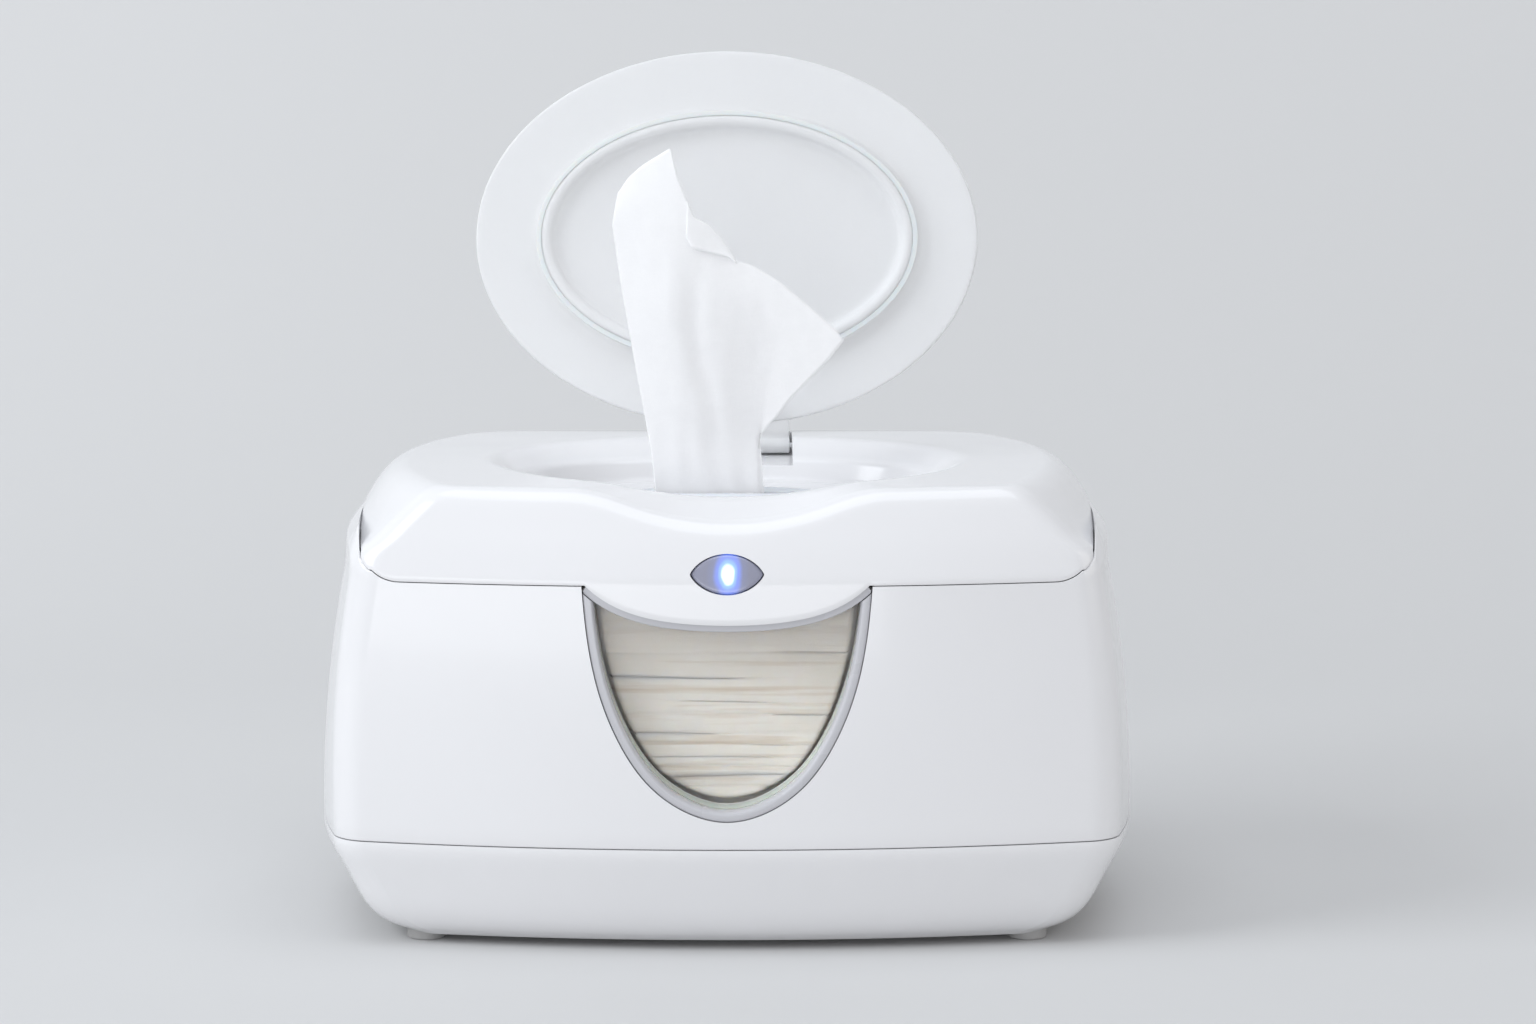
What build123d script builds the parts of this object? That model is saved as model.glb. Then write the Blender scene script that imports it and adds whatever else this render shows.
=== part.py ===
from build123d import *
import os
from math import atan2, cos, degrees, hypot, radians, sin, sqrt

# Baby wipe warmer. Millimetres, +Z up, front towards -Y.
# The origin is the middle of the footprint, on the surface that the feet stand on.
# The cover is drawn closed and the flip lid drawn open.

# ---- driving dimensions: body ------------------------------------------------------------------
BODY_HALF_WIDTH = 132.5      # at the seam between the base tray and the housing
BODY_HALF_DEPTH = 91.6       # at the same seam
TRAY_SEAM_Z = 34.5           # seam between base tray and housing
COVER_SEAM_Z = 117.0         # seam between housing and cover, at the front and the rear
EAR_EDGE_Z = 126.5           # outer edge of the housing's shoulders, beside the cover
EAR_TOP_Z = 133.0            # inner edge of the shoulders, where they meet the cover
SEAM_GAP = 0.4               # open gap along the seams
WALL = 2.5                   # moulded wall
UNDERSIDE_Z = 2.5            # base tray's underside above the surface
SIDE_BULGE = 296.0           # plan radius of the bowed sides, at the tray seam
FRONT_BULGE = 483.0          # plan radius of the bowed front
REAR_BULGE = 1400.0          # plan radius of the flatter rear
CORNER = 14.0                # plan radius of the vertical corners

# ---- driving dimensions: cover and its recess --------------------------------------------------
COVER_HALF_WIDTH = 118.4     # between the middle line and a side seam, at Y = 0
SEAM_BOW = 886.0             # plan radius of the side seams
COVER_CORNER = 12.0          # radius where the front seam turns up into the side seam
CROWN_Z = 147.6              # highest point of the cover
CROWN_Y = 20.0               # the crown lies behind the middle
CROWN_RADIUS = 2400.0        # side view radius of the top
CROWN_EDGE = 4.0             # rounding of the top edge
DISH_Y = -6.0                # middle of the dish around the dispensing slit
DISH_RIM = (78.0, 64.0)      # half axes of the dish's outer rim
WELL_Y = -8.0                # middle of the well inside the dish
WELL_RIM = (68.0, 45.5)      # half axes of the well
WELL_RIM_Z = 142.0
FLOOR_Z = 135.0              # floor of the well
NOTCH_Z = 140.0              # floor of the channel for the lid's hinge tab
SCOOP_RADIUS = 110.0         # thumb scoop in the front edge
SCOOP_TILT = 12.5            # degrees, falls towards the front
SCOOP_POINT = (-80.0, 136.0)  # Y and Z of the scoop's lowest line at the front face

# ---- driving dimensions: window ----------------------------------------------------------------
# Half outlines in front view, from the middle of the bottom upwards: X, Z
NOTCH = [(0, 43.3), (13.9, 47.0), (24.6, 55.0), (33.8, 68.4), (40.2, 84.6), (44.2, 106.0), (45.8, 126.0)]
SMILE = [(0, 105.0), (16.0, 105.8), (31.0, 109.0), (44.4, 117.0)]
BEZEL_WIDTH = 3.2
BEZEL_DEPTH = 4.9            # from the housing's outer face to the pane
PANE_THICK = 1.8
BAND = 1.7                   # grey rim that shows below the cover's front tab

# ---- driving dimensions: hinges, lid, button ---------------------------------------------------
COVER_AXIS = (89.0, 117.6)   # Y and Z of the cover's hinge axis
COVER_HINGE_X = 60.0
KNUCKLE = 2.6
COVER_PIN = 1.1
LID_AXIS = (63.5, 143.3)     # Y and Z of the flip lid's hinge axis
LID_PIN = 1.0
LID_OPEN = 99.0              # degrees between shut and the open stop
LID_HALF = (86.3, 64.5)      # half axes of the flip lid
LID_Y = -8.0                 # middle of the shut lid
LID_UNDER_Z = 147.9          # underside of the shut lid
LID_THICK = 1.7
PLUG_RING = (63.8, 42.0)     # half axes of the ring that drops into the well
PLUG_WIDTH = 5.2
PLUG_Z = 141.6               # lowest face of the ring when shut
TAB_HALF = 21.4              # half width of the lid's hinge tab
RUNNING = 0.06               # radial play of a hinge pin
BUTTON_HALF = (11.2, 6.45)   # half width and half height of the lens-shaped button
BUTTON_Z = 120.85
BUTTON_GAP = 0.35
BUTTON_TRAVEL = 0.8

# ---- driving dimensions: inside ----------------------------------------------------------------
LEDGE_Z = 113.5              # ledge of the housing that carries the tub's flange
TUB_FLOOR_Z = 16.0
TUB_WALL = 1.6
TUB_HALF = (101.0, 78.0, 75.5)  # half width, front and rear of the tub at its ledge
TUB_DRAFT = 3.5              # how much narrower each side is at the floor
STACK_HALF = (86.0, 59.0)    # folded wipes, half width and half depth
STACK_Y = -10.5
LINER_HALF_WIDTH = 106.4
STACK_TOP_Z = 107.5
LINER_Z = (118.4, 120.8)     # underside and top of the liner plate in the cover
HEATER_THICK = 1.2
FILM_THICK = 0.4
SLIT_Y = WELL_Y + 3.0        # the slit lies a little behind the middle of the well
SLOT_HALF = (28.0, 2.2)      # dispensing slit
THROAT = (33.0, 15.0)        # half axes of the opening under the slit
BOARD_Y = -72.6              # front face of the control board
BOARD_THICK = 1.6
BOARD_SOLDER_Y = BOARD_Y + BOARD_THICK + 0.05
FOOT_AT = (96.0, 60.0)
FOOT_RADIUS = 6.25
FOOT_TOP_Z = 3.3
JACK_Z = 127.0
JACK_BORE = 2.85
JACK_PIN = 1.05
JACK_PIN_LENGTH = 8.0
JACK_FACE_Y = 86.0           # rear face of the inlet
JACK_NOSE = 4.0              # radius of the part that stands in the cover's hole
CASE_SCREWS = [(80.0, 50.0), (-80.0, 50.0), (80.0, -50.0), (-80.0, -50.0)]
CASE_BOSS = 4.0              # radius of the posts under the tub
SCREW_BORE = 1.55            # thread bore of a post
SCREW_CLEAR = 1.7            # through hole in the tray
SCREW_HEAD = 3.0
SCREW_RECESS_Z = 4.6         # the screw heads bear on this level
LINER_SCREW_ROWS = [(46, 96), (-46, 96), (69, 47), (-66, 60)]  # Y and reach to each side
LINER_SCREWS = [(side * reach, y) for y, reach in LINER_SCREW_ROWS for side in (-1, 1)]
SWITCH_AT = (8.2, BUTTON_Z + 3.6)  # X and Z of the switch behind the button
LED_Z = BUTTON_Z + 2.6
THERMOSTAT_AT = (45.0, -36.0)
LEAD_EXITS = [(-45.0, -36.0), (-45.0, 30.0)]  # where the heater leads pass the liner
WIRE = 0.8                   # radius of a lead


# ---- plan outlines -----------------------------------------------------------------------------
def circles_meet(c0, r0, c1, r1):
    """The crossing of two circles that lies furthest out in X."""
    dx, dy = c1[0] - c0[0], c1[1] - c0[1]
    d = hypot(dx, dy)
    along = (r0 * r0 - r1 * r1 + d * d) / (2 * d)
    off = sqrt(r0 * r0 - along * along)
    spots = [
        (c0[0] + (along * dx + s * off * dy) / d, c0[1] + (along * dy - s * off * dx) / d)
        for s in (-1, 1)
    ]
    return max(spots)


def corner_arc(side_centre, side_r, end_centre, end_r, r):
    """The arc that rounds a bowed side into a bowed end: points on the end, between, on the side."""
    px, py = circles_meet(end_centre, end_r - r, side_centre, side_r - r)
    a_end = atan2(py - end_centre[1], px - end_centre[0])
    a_side = atan2(py - side_centre[1], px - side_centre[0])
    mid = (a_end + a_side) / 2
    return [(px + r * cos(a), py + r * sin(a)) for a in (a_end, mid, a_side)]


def outline(z, half_width, front, rear, r=CORNER, side_r=SIDE_BULGE, front_r=FRONT_BULGE,
            rear_r=REAR_BULGE, rear_corner=None):
    """Closed plan outline at height z: four bowed sides joined by tangent corner arcs."""
    side_centre = (half_width - side_r, 0)
    f = corner_arc(side_centre, side_r, (0, front_r - front), front_r, r)
    b = corner_arc(side_centre, side_r, (0, rear - rear_r), rear_r, rear_corner or r)
    left = lambda p: (-p[0], p[1], z)
    right = lambda p: (p[0], p[1], z)
    arcs = [
        ThreePointArc(left(f[0]), (0, -front, z), right(f[0])),
        ThreePointArc(right(f[0]), right(f[1]), right(f[2])),
        ThreePointArc(right(f[2]), (half_width, 0, z), right(b[2])),
        ThreePointArc(right(b[2]), right(b[1]), right(b[0])),
        ThreePointArc(right(b[0]), (0, rear, z), left(b[0])),
        ThreePointArc(left(b[0]), left(b[1]), left(b[2])),
        ThreePointArc(left(b[2]), (-half_width, 0, z), left(f[2])),
        ThreePointArc(left(f[2]), left(f[1]), left(f[0])),
    ]
    return Wire(arcs)


def between(sections, ruled=False):
    """Solid through closed outlines, lowest first."""
    return Solid.make_loft(sections, ruled)


def prism(wire, height):
    return extrude(Face(wire), height, dir=(0, 0, 1))


def body_outline(z, inset=0.0):
    """Plan outline of the body between the tray seam and the shoulders."""
    rise = z - TRAY_SEAM_Z
    half_width = BODY_HALF_WIDTH - min(rise, 82.5) ** 2 / 820 - max(rise - 82.5, 0) * 0.05
    share = rise / (COVER_SEAM_Z - TRAY_SEAM_Z)
    front = BODY_HALF_DEPTH - 3.6 * share ** 2
    rear = BODY_HALF_DEPTH - 4.6 * share ** 2
    side_r = SIDE_BULGE + (430 - SIDE_BULGE) * min(share, 1)
    return outline(z, half_width - inset, front - inset, rear - inset, CORNER - inset, side_r - inset,
                   FRONT_BULGE - inset, REAR_BULGE - inset)


def body_solid(inset=0.0, low=TRAY_SEAM_Z, high=EAR_EDGE_Z):
    steps = [low + (high - low) * k / 5 for k in range(6)]
    return between([body_outline(z, inset) for z in steps])


def shoulder_solid():
    """The sloping shoulders above the body's outer edge."""
    rise = EAR_TOP_Z - EAR_EDGE_Z
    top = outline(EAR_TOP_Z, 118.9, 87.0 - rise, 86.0 - rise, 9, 420)
    return between([body_outline(EAR_EDGE_Z), top], True)


# height, half width, front, rear, corner radius, side bulge, front bulge
COVER_SECTIONS = [
    (COVER_SEAM_Z, 124.2, 88.0, 87.0, 14.0, 430.0, 483.0),
    (123.0, 123.9, 86.3, 86.5, 13.0, 380.0, 500.0),
    (128.5, 123.4, 84.3, 85.8, 12.5, 216.0, 520.0),
    (134.5, 118.4, 81.7, 84.7, 12.0, 188.0, 550.0),
    (140.0, 114.9, 79.2, 83.2, 12.0, 157.0, 580.0),
    (145.0, 110.8, 76.7, 81.0, 12.0, 143.0, 610.0),
    (150.0, 106.5, 74.2, 78.4, 12.0, 136.0, 640.0),
]


def cover_outline(section, inset=0.0):
    z, half_width, front, rear, r, side_r, front_r = section
    rear_corner = r + (z - COVER_SEAM_Z) * 0.45
    return outline(z, half_width - inset, front - inset, rear - inset, r - inset, side_r - inset,
                   front_r - inset, REAR_BULGE - inset, rear_corner - inset)


def seam_profile(y, grow):
    """Cross-section of the cover's place at y: square top, rounded bottom corners."""
    half = COVER_HALF_WIDTH - y * y / (2 * SEAM_BOW) - SEAM_GAP / 2 + grow
    low = COVER_SEAM_Z + SEAM_GAP / 2 - grow
    high = CROWN_Z + 12
    r = COVER_CORNER
    cut = r * (1 - cos(radians(45)))
    return Wire([
        Line((half, y, low + r), (half, y, high)),
        Line((half, y, high), (-half, y, high)),
        Line((-half, y, high), (-half, y, low + r)),
        ThreePointArc((-half, y, low + r), (-half + cut, y, low + cut), (-half + r, y, low)),
        Line((-half + r, y, low), (half - r, y, low)),
        ThreePointArc((half - r, y, low), (half - cut, y, low + cut), (half, y, low + r)),
    ])


def seam_space(grow=0.0):
    """The cover's place between its seams, running the whole depth."""
    return between([seam_profile(y, grow) for y in (-100, -50, 0, 50, 100)])


def along_y(face, y0, y1):
    """A face in the XZ plane pushed from y0 to y1."""
    return extrude(Pos(0, y0, 0) * face, y1 - y0, dir=(0, 1, 0))


def cover_solid(inset=0.0):
    """The cover's outer shape, or with an inset the space inside its walls."""
    blank = between([cover_outline(s, inset) for s in COVER_SECTIONS])
    crown = Pos(0, CROWN_Y, CROWN_Z - CROWN_RADIUS) * Rot(0, 90, 0) * Cylinder(CROWN_RADIUS - inset, 400)
    blank = blank & crown
    place = seam_space(-inset)
    if inset:
        place = place + block(-LINER_HALF_WIDTH, LINER_HALF_WIDTH, -120, 120, 110, 130)
    return blank & place


def oval(half, z, y=0.0, grow=0.0):
    """Horizontal ellipse."""
    return Pos(0, y, z) * Ellipse(half[0] + grow, half[1] + grow)


def oval_prism(half, z0, z1, y=0.0, grow=0.0):
    return extrude(oval(half, z0, y, grow), z1 - z0, dir=(0, 0, 1))


def bored(x, y, z0, z1, radius):
    """Upright cylinder."""
    return Pos(x, y, (z0 + z1) / 2) * Cylinder(radius, z1 - z0)


def cross_rod(x0, x1, y, z, radius):
    """Cylinder along X."""
    return Pos((x0 + x1) / 2, y, z) * Rot(0, 90, 0) * Cylinder(radius, x1 - x0)


def block(x0, x1, y0, y1, z0, z1):
    return Pos((x0 + x1) / 2, (y0 + y1) / 2, (z0 + z1) / 2) * Box(x1 - x0, y1 - y0, z1 - z0)


# ---- window outlines, all in the XZ plane ------------------------------------------------------
def moved_out(points, grow):
    """The points of a half outline moved out across it by grow."""
    out = []
    for i, (x, z) in enumerate(points):
        before, after = points[max(i - 1, 0)], points[min(i + 1, len(points) - 1)]
        tx, tz = after[0] - before[0], after[1] - before[1]
        if i == 0:
            tx, tz = 1.0, 0.0
        size = hypot(tx, tz)
        out.append((x + grow * tz / size, z - grow * tx / size))
    return out


def mirrored(points):
    return [(-x, z) for x, z in reversed(points[1:])] + points


def u_face(grow=0.0, top=None):
    """The window's U, grown outwards, closed at the top."""
    half = moved_out(NOTCH, grow)
    run = mirrored(half)
    curve = Spline(*[(x, 0, z) for x, z in run])
    face = Face(Wire([curve, Line((run[-1][0], 0, run[-1][1]), (run[0][0], 0, run[0][1]))]))
    if top is not None:
        kept = Polyline((-80, 0, 0), (80, 0, 0), (80, 0, top), (-80, 0, top), close=True)
        face = face & Face(Wire(kept))
    return face


def smile_face(drop=0.0, top=COVER_SEAM_Z + SEAM_GAP / 2):
    """The cover's front tab in front view: a smile below the seam, let down by drop."""
    half = moved_out(SMILE, drop)
    half = half[:-1] + [(half[-1][0], top)]
    run = mirrored(half)
    curve = Spline(*[(x, 0, z) for x, z in run])
    return Face(Wire([curve, Line((run[-1][0], 0, top), (run[0][0], 0, top))]))


def below_smile(drop):
    """All of the front view below the smile let down by drop."""
    half = moved_out(SMILE, drop)
    half = half[:-1] + [(half[-1][0], COVER_SEAM_Z), (90, COVER_SEAM_Z + 14)]
    run = mirrored(half)
    curve = Spline(*[(x, 0, z) for x, z in run])
    ends = Polyline((run[-1][0], 0, run[-1][1]), (90, 0, 0), (-90, 0, 0), (run[0][0], 0, run[0][1]))
    return Face(Wire([curve, *ends.edges()]))


def front_layer(face, near, far):
    """The front wall between two depths below the body's outer face, cut to a front view face."""
    layer = body_solid(near, 36.0, 120.0) - body_solid(far, 36.0, 120.0)
    return layer & along_y(face, -120, -40)


def lens_face(grow=0.0):
    """Pointed oval of the button."""
    w, h = BUTTON_HALF[0] + grow, BUTTON_HALF[1] + grow * 0.9
    top = ThreePointArc((w, 0, BUTTON_Z), (0, 0, BUTTON_Z + h), (-w, 0, BUTTON_Z))
    low = ThreePointArc((-w, 0, BUTTON_Z), (0, 0, BUTTON_Z - h), (w, 0, BUTTON_Z))
    return Face(Wire([top, low]))


# ---- base --------------------------------------------------------------------------------------
# height and how far the tray's side has come in from the seam
TRAY_PROFILE = [(2.5, 24.5), (4.6, 19.5), (7.2, 14.9), (11.0, 11.1), (17.6, 7.2), (25.0, 3.3), (34.3, 0.0)]


def tray_solid(inset=0.0, floor=0.0):
    """The tray's outer shape, or with an inset the space inside it above its floor."""
    sections = []
    for z, back in TRAY_PROFILE:
        if z > floor:
            depth = BODY_HALF_DEPTH - back * 0.6 - inset
            sections.append(outline(z, BODY_HALF_WIDTH - back - inset, depth, depth, CORNER - inset))
    return between(sections)


def base_tray():
    tray = tray_solid() - tray_solid(WALL, 3.0)
    tongue = (prism(outline(30.0, 129.6, 88.8, 88.8, 11.2), 7.0)
              - prism(outline(29.0, 127.2, 86.4, 86.4, 8.8), 10.0))
    tray = tray + tongue
    for x, y in CASE_SCREWS:
        tray = tray + bored(x, y, UNDERSIDE_Z, 7.9, CASE_BOSS + 1.0)
    for x, y in CASE_SCREWS:
        tray = tray - bored(x, y, 2.0, 9.0, SCREW_CLEAR)
        tray = tray - bored(x, y, 2.0, SCREW_RECESS_Z, SCREW_HEAD + 0.3)
    for sx in (-1, 1):
        for sy in (-1, 1):
            tray = tray - bored(sx * FOOT_AT[0], sy * FOOT_AT[1], 0, FOOT_TOP_Z, FOOT_RADIUS + 0.1)
    return tray


def foot(x, y):
    disc = bored(x, y, 0, FOOT_TOP_Z, FOOT_RADIUS)
    return fillet(disc.edges().filter_by(GeomType.CIRCLE).sort_by(Axis.Z)[0], 0.6)


def feet():
    return [foot(sx * FOOT_AT[0], sy * FOOT_AT[1]) for sx in (-1, 1) for sy in (-1, 1)]


def base_screws():
    return [bored(x, y, 2.8, SCREW_RECESS_Z, SCREW_HEAD)
            + bored(x, y, SCREW_RECESS_Z, 14.5, SCREW_BORE - 0.05) for x, y in CASE_SCREWS]


def tub_outline(z, grow=0.0):
    draft = TUB_DRAFT * (LEDGE_Z - z) / (LEDGE_Z - TUB_FLOOR_Z)
    half_width, front, rear = TUB_HALF
    return outline(z, half_width - draft + grow, front + grow, rear - draft + grow, 22 + grow)


def tub():
    rim = LEDGE_Z + 2.0
    shell = between([tub_outline(TUB_FLOOR_Z), tub_outline(LEDGE_Z), tub_outline(rim)], True)
    shell = shell + prism(outline(LEDGE_Z, 107.4, 80.2, 79.6, 24), 2.0)
    space = between([tub_outline(TUB_FLOOR_Z + TUB_WALL, -TUB_WALL), tub_outline(LEDGE_Z, -TUB_WALL),
                     tub_outline(rim + 1, -TUB_WALL)], True)
    shell = shell - space
    for x, y in CASE_SCREWS:
        shell = shell + bored(x, y, 8.1, TUB_FLOOR_Z + 0.5, CASE_BOSS)
    for x, y in CASE_SCREWS:
        shell = shell - bored(x, y, 8.0, 15.5, SCREW_BORE)
    return shell - along_y(u_face(-BEZEL_WIDTH, 111.0), -100, -70)


def housing():
    outer = body_solid(0, TRAY_SEAM_Z + 0.1, EAR_EDGE_Z) + shoulder_solid()
    shell = outer - body_solid(WALL, TRAY_SEAM_Z, 111.5)
    shell = shell - seam_space(SEAM_GAP)
    for side in (-1, 1):
        ends = [(58.8, 135.5), (73.3, 120.2), (95.0, 120.2), (95.0, 140.0), (58.8, 140.0)]
        slope = Face(Wire(Polyline(*[(-140, side * y, z) for y, z in ends], close=True)))
        shell = shell - extrude(slope, 280, dir=(1, 0, 0))
    shell = shell - prism(outline(110.0, 101.8, 78.6, 76.2, 23), 10.0)
    shell = shell - prism(outline(LEDGE_Z, 107.7, 80.6, 79.9, 24.4), 10.0)
    shell = shell - along_y(u_face(0.15, 130.0), -120, -76)
    shell = shell - front_layer(u_face(BEZEL_WIDTH + 2.0, 116.0), 2.3, 9.0)
    for sx in (-1, 1):
        shell = shell + knuckle(sx * COVER_HINGE_X, 15.6, -1)
        middle = sx * COVER_HINGE_X
        shell = shell - cross_rod(middle - 9, middle + 9, *COVER_AXIS, COVER_PIN)
        for gap in (-1, 1):
            mid = middle + gap * 13.3
            shell = shell - cross_rod(mid - 5.3, mid + 5.3, *COVER_AXIS, KNUCKLE + 0.4)
    return shell


def knuckle(x, width, side):
    """Hinge knuckle with the web that carries it: below the axis for side -1, above it for side 1."""
    y, z = COVER_AXIS
    seam = COVER_SEAM_Z + side * SEAM_GAP / 2
    web = block(x - width / 2, x + width / 2, 84.4, y, *sorted((seam, z + side * 3.6)))
    return web + cross_rod(x - width / 2, x + width / 2, y, z, KNUCKLE)


def window_bezel():
    ring = front_layer(u_face(0.0, 130.0), 0.3, BEZEL_DEPTH)
    flange = front_layer(u_face(BEZEL_WIDTH + 1.6, 112.0), 2.6, BEZEL_DEPTH)
    hole = along_y(u_face(-BEZEL_WIDTH, 130.0), -120, -40)
    trim = along_y(below_smile(BAND + 0.45), -120, -40)
    return ((ring + flange) - hole) & trim


def window_pane():
    near = BEZEL_DEPTH + 0.05
    return front_layer(u_face(BEZEL_WIDTH + 1.0, 113.0), near, near + PANE_THICK)


def window_seal():
    back = BEZEL_DEPTH + 0.1 + PANE_THICK
    face = u_face(1.2, 111.4) - u_face(-BEZEL_WIDTH, 130.0)
    rim = along_y(face, -100, -60) & body_solid(back, 38.0, 118.0)
    return rim - between([tub_outline(TUB_FLOOR_Z, 0.05), tub_outline(118, 0.05)], True)


def wipe_stack():
    w, d = STACK_HALF
    low = TUB_FLOOR_Z + TUB_WALL
    stack = block(-w, w, STACK_Y - d, STACK_Y + d, low, STACK_TOP_Z)
    return fillet(stack.edges().filter_by(Axis.Z), 14.0)


def cover_pins():
    spans = [(side * COVER_HINGE_X - 18.4, side * COVER_HINGE_X + 18.4) for side in (-1, 1)]
    return [cross_rod(x0, x1, *COVER_AXIS, COVER_PIN) for x0, x1 in spans]


# ---- cover -------------------------------------------------------------------------------------
def scoop(extra=0.0):
    """The thumb scoop as a tilted cylinder; with extra, the wall under it."""
    y, z = SCOOP_POINT
    r = SCOOP_RADIUS + extra
    rod = Pos(0, y, z) * Rot(SCOOP_TILT, 0, 0) * Pos(0, 0, SCOOP_RADIUS) * Rot(90, 0, 0) * Cylinder(r, 90)
    return rod & block(-90, 90, -110, WELL_Y - 30, 100, 160)


def dish(extra=0.0):
    """The dish and well around the slit; with extra, the wall under them."""
    rim = oval(DISH_RIM, CROWN_Z + 0.6 - extra, DISH_Y, extra)
    lip = oval(WELL_RIM, WELL_RIM_Z - extra, WELL_Y, extra)
    slope = loft([lip, rim])
    above = oval_prism(DISH_RIM, CROWN_Z + 0.6 - extra, CROWN_Z + 9, DISH_Y, extra)
    well = oval_prism(WELL_RIM, FLOOR_Z - extra, WELL_RIM_Z - extra, WELL_Y, extra)
    return slope + above + well


def notch(extra=0.0):
    """The channel that the lid's hinge tab stands in; with extra, the walls round it."""
    half = TAB_HALF + 0.8 + 2 * extra
    return block(-half, half, 28.0, 70.9 + extra, NOTCH_Z - extra, 160)


def cover_shell():
    outer = cover_solid()
    rims = [e for e in outer.edges() if e.center().Z > 142]
    outer = fillet(rims, CROWN_EDGE)
    space = cover_solid(WALL) - dish(WALL) - scoop(WALL) - notch(WALL)
    for x, y in LINER_SCREWS:
        space = space - bored(x, y, LINER_Z[1], 150, 3.6)
    shell = outer - space - dish() - scoop() - notch()
    shell = shell + front_layer(smile_face(), 0.0, WALL)
    shell = shell - oval_prism(THROAT, 130, 140, SLIT_Y, -2.0)
    for x, y in LINER_SCREWS:
        shell = shell - bored(x, y, 116, 131, 1.35)
    for sx in (-1, 1):
        for gap in (-1, 1):
            mid = sx * COVER_HINGE_X + gap * 13.2
            shell = shell + knuckle(mid, 10.0, 1)
            shell = shell - cross_rod(mid - 6, mid + 6, *COVER_AXIS, COVER_PIN + RUNNING)
        middle = sx * COVER_HINGE_X
        shell = shell - cross_rod(middle - 8.1, middle + 8.1, *COVER_AXIS, KNUCKLE + 0.4)
    shell = shell - cross_rod(-27, 27, *LID_AXIS, LID_PIN)
    shell = shell - along_y(lens_face(BUTTON_GAP), -100, -78)
    shell = shell - Pos(0, 85, JACK_Z) * Rot(90, 0, 0) * Cylinder(JACK_NOSE + 0.2, 14)
    return shell


def cover_liner():
    half = LINER_HALF_WIDTH - 0.2
    plate = cover_solid(WALL + 0.2) & block(-half, half, -100, 100, *LINER_Z)
    lip = front_layer(smile_face(BAND, LINER_Z[0] + 0.6), WALL + 0.2, WALL + 2.0)
    lip = lip & (cover_solid(WALL + 0.2) + block(-60, 60, -100, 0, 90, COVER_SEAM_Z))
    collar = oval_prism(THROAT, LINER_Z[0], FLOOR_Z - WALL - 0.1, SLIT_Y, 1.8)
    liner = plate + lip + collar - oval_prism(THROAT, 110, 140, SLIT_Y)
    liner = liner - block(-14.5, 14.5, -95, -78.2, 112.6, 122)
    for x, y in LINER_SCREWS:
        liner = liner - bored(x, y, 115, 123, 1.5)
    return liner - passages(115, 123)


def passages(z0, z1):
    """Holes for the thermostat and the heater leads."""
    return bored(*THERMOSTAT_AT, z0, z1, 7.2) + [bored(*place, z0, z1, 2.6) for place in LEAD_EXITS]


def ring_plate(z0, z1, outer, hole_grow):
    """Plate in the cover around the throat."""
    plate = prism(outline(z0, *outer), z1 - z0)
    return plate - oval_prism(THROAT, z0 - 1, z1 + 1, SLIT_Y, hole_grow)


def cover_gasket():
    z0 = LEDGE_Z + 2.3
    return (prism(outline(z0, 106.2, 79.8, 79.0, 23), LINER_Z[0] - z0)
            - prism(outline(z0 - 1, 103.4, 77.2, 76.2, 20.4), 8.0))


def heater_plate():
    top = LINER_Z[0] - FILM_THICK
    return ring_plate(top - HEATER_THICK, top, (90.0, 62.0, 60.0, 12.0), 2.0)


def heater_film():
    return ring_plate(LINER_Z[0] - FILM_THICK, LINER_Z[0], (84.0, 57.0, 55.0, 10.0), 6.0)


def insulation_pad():
    pad = ring_plate(LINER_Z[1], LINER_Z[1] + 3.0, (86.0, 58.0, 54.0, 10.0), 2.4)
    return pad - passages(115, 126)


def thermostat():
    x, y = THERMOSTAT_AT
    case_top = LINER_Z[1] + 1.6
    return bored(x, y, LINER_Z[0], case_top, 6.6) + block(x - 3.5, x + 3.5, y - 1, y + 1, case_top, 126.2)


def liner_screws():
    seat = LINER_Z[0]
    return [bored(x, y, 116.7, seat, 2.7) + bored(x, y, seat, 129.5, 1.3) for x, y in LINER_SCREWS]


def wipe_orifice():
    body = oval_prism(THROAT, FLOOR_Z - WALL - 1.4, FLOOR_Z, SLIT_Y, -2.2)
    flange = oval_prism(THROAT, FLOOR_Z, FLOOR_Z + 0.9, SLIT_Y, 1.0)
    slot = Pos(0, SLIT_Y, 0) * extrude(SlotOverall(2 * SLOT_HALF[0], 2 * SLOT_HALF[1]), 160)
    return body + flange - slot


def control_board():
    return block(-30, 30, BOARD_Y, BOARD_Y + BOARD_THICK, 121.3, 132.0)


def tact_switch():
    x, z = SWITCH_AT
    body = block(x - 3.0, x + 3.0, BOARD_Y - 3.5, BOARD_Y, z - 3.0, z + 3.0)
    return body + Pos(x, BOARD_Y - 4.0, z) * Rot(90, 0, 0) * Cylinder(1.6, 1.4)


def status_led():
    body = Pos(0, BOARD_Y - 1.5, LED_Z) * Rot(90, 0, 0) * Cylinder(1.5, 3.0)
    return body + Pos(0, BOARD_Y - 3.0, LED_Z) * Sphere(1.5)


def dc_jack():
    face = JACK_FACE_Y
    body = block(-4.5, 4.5, face - 14.0, face - 4.2, JACK_Z - 5.5, JACK_Z + 5.5)
    nose = Pos(0, face - 2.3, JACK_Z) * Rot(90, 0, 0) * Cylinder(JACK_NOSE, 4.6)
    bore = Pos(0, face - 4.5, JACK_Z) * Rot(90, 0, 0) * Cylinder(JACK_BORE, 10.0)
    return body + nose - bore


def jack_pin():
    middle = JACK_FACE_Y - 9.5 + JACK_PIN_LENGTH / 2
    return Pos(0, middle, JACK_Z) * Rot(90, 0, 0) * Cylinder(JACK_PIN, JACK_PIN_LENGTH)


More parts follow.
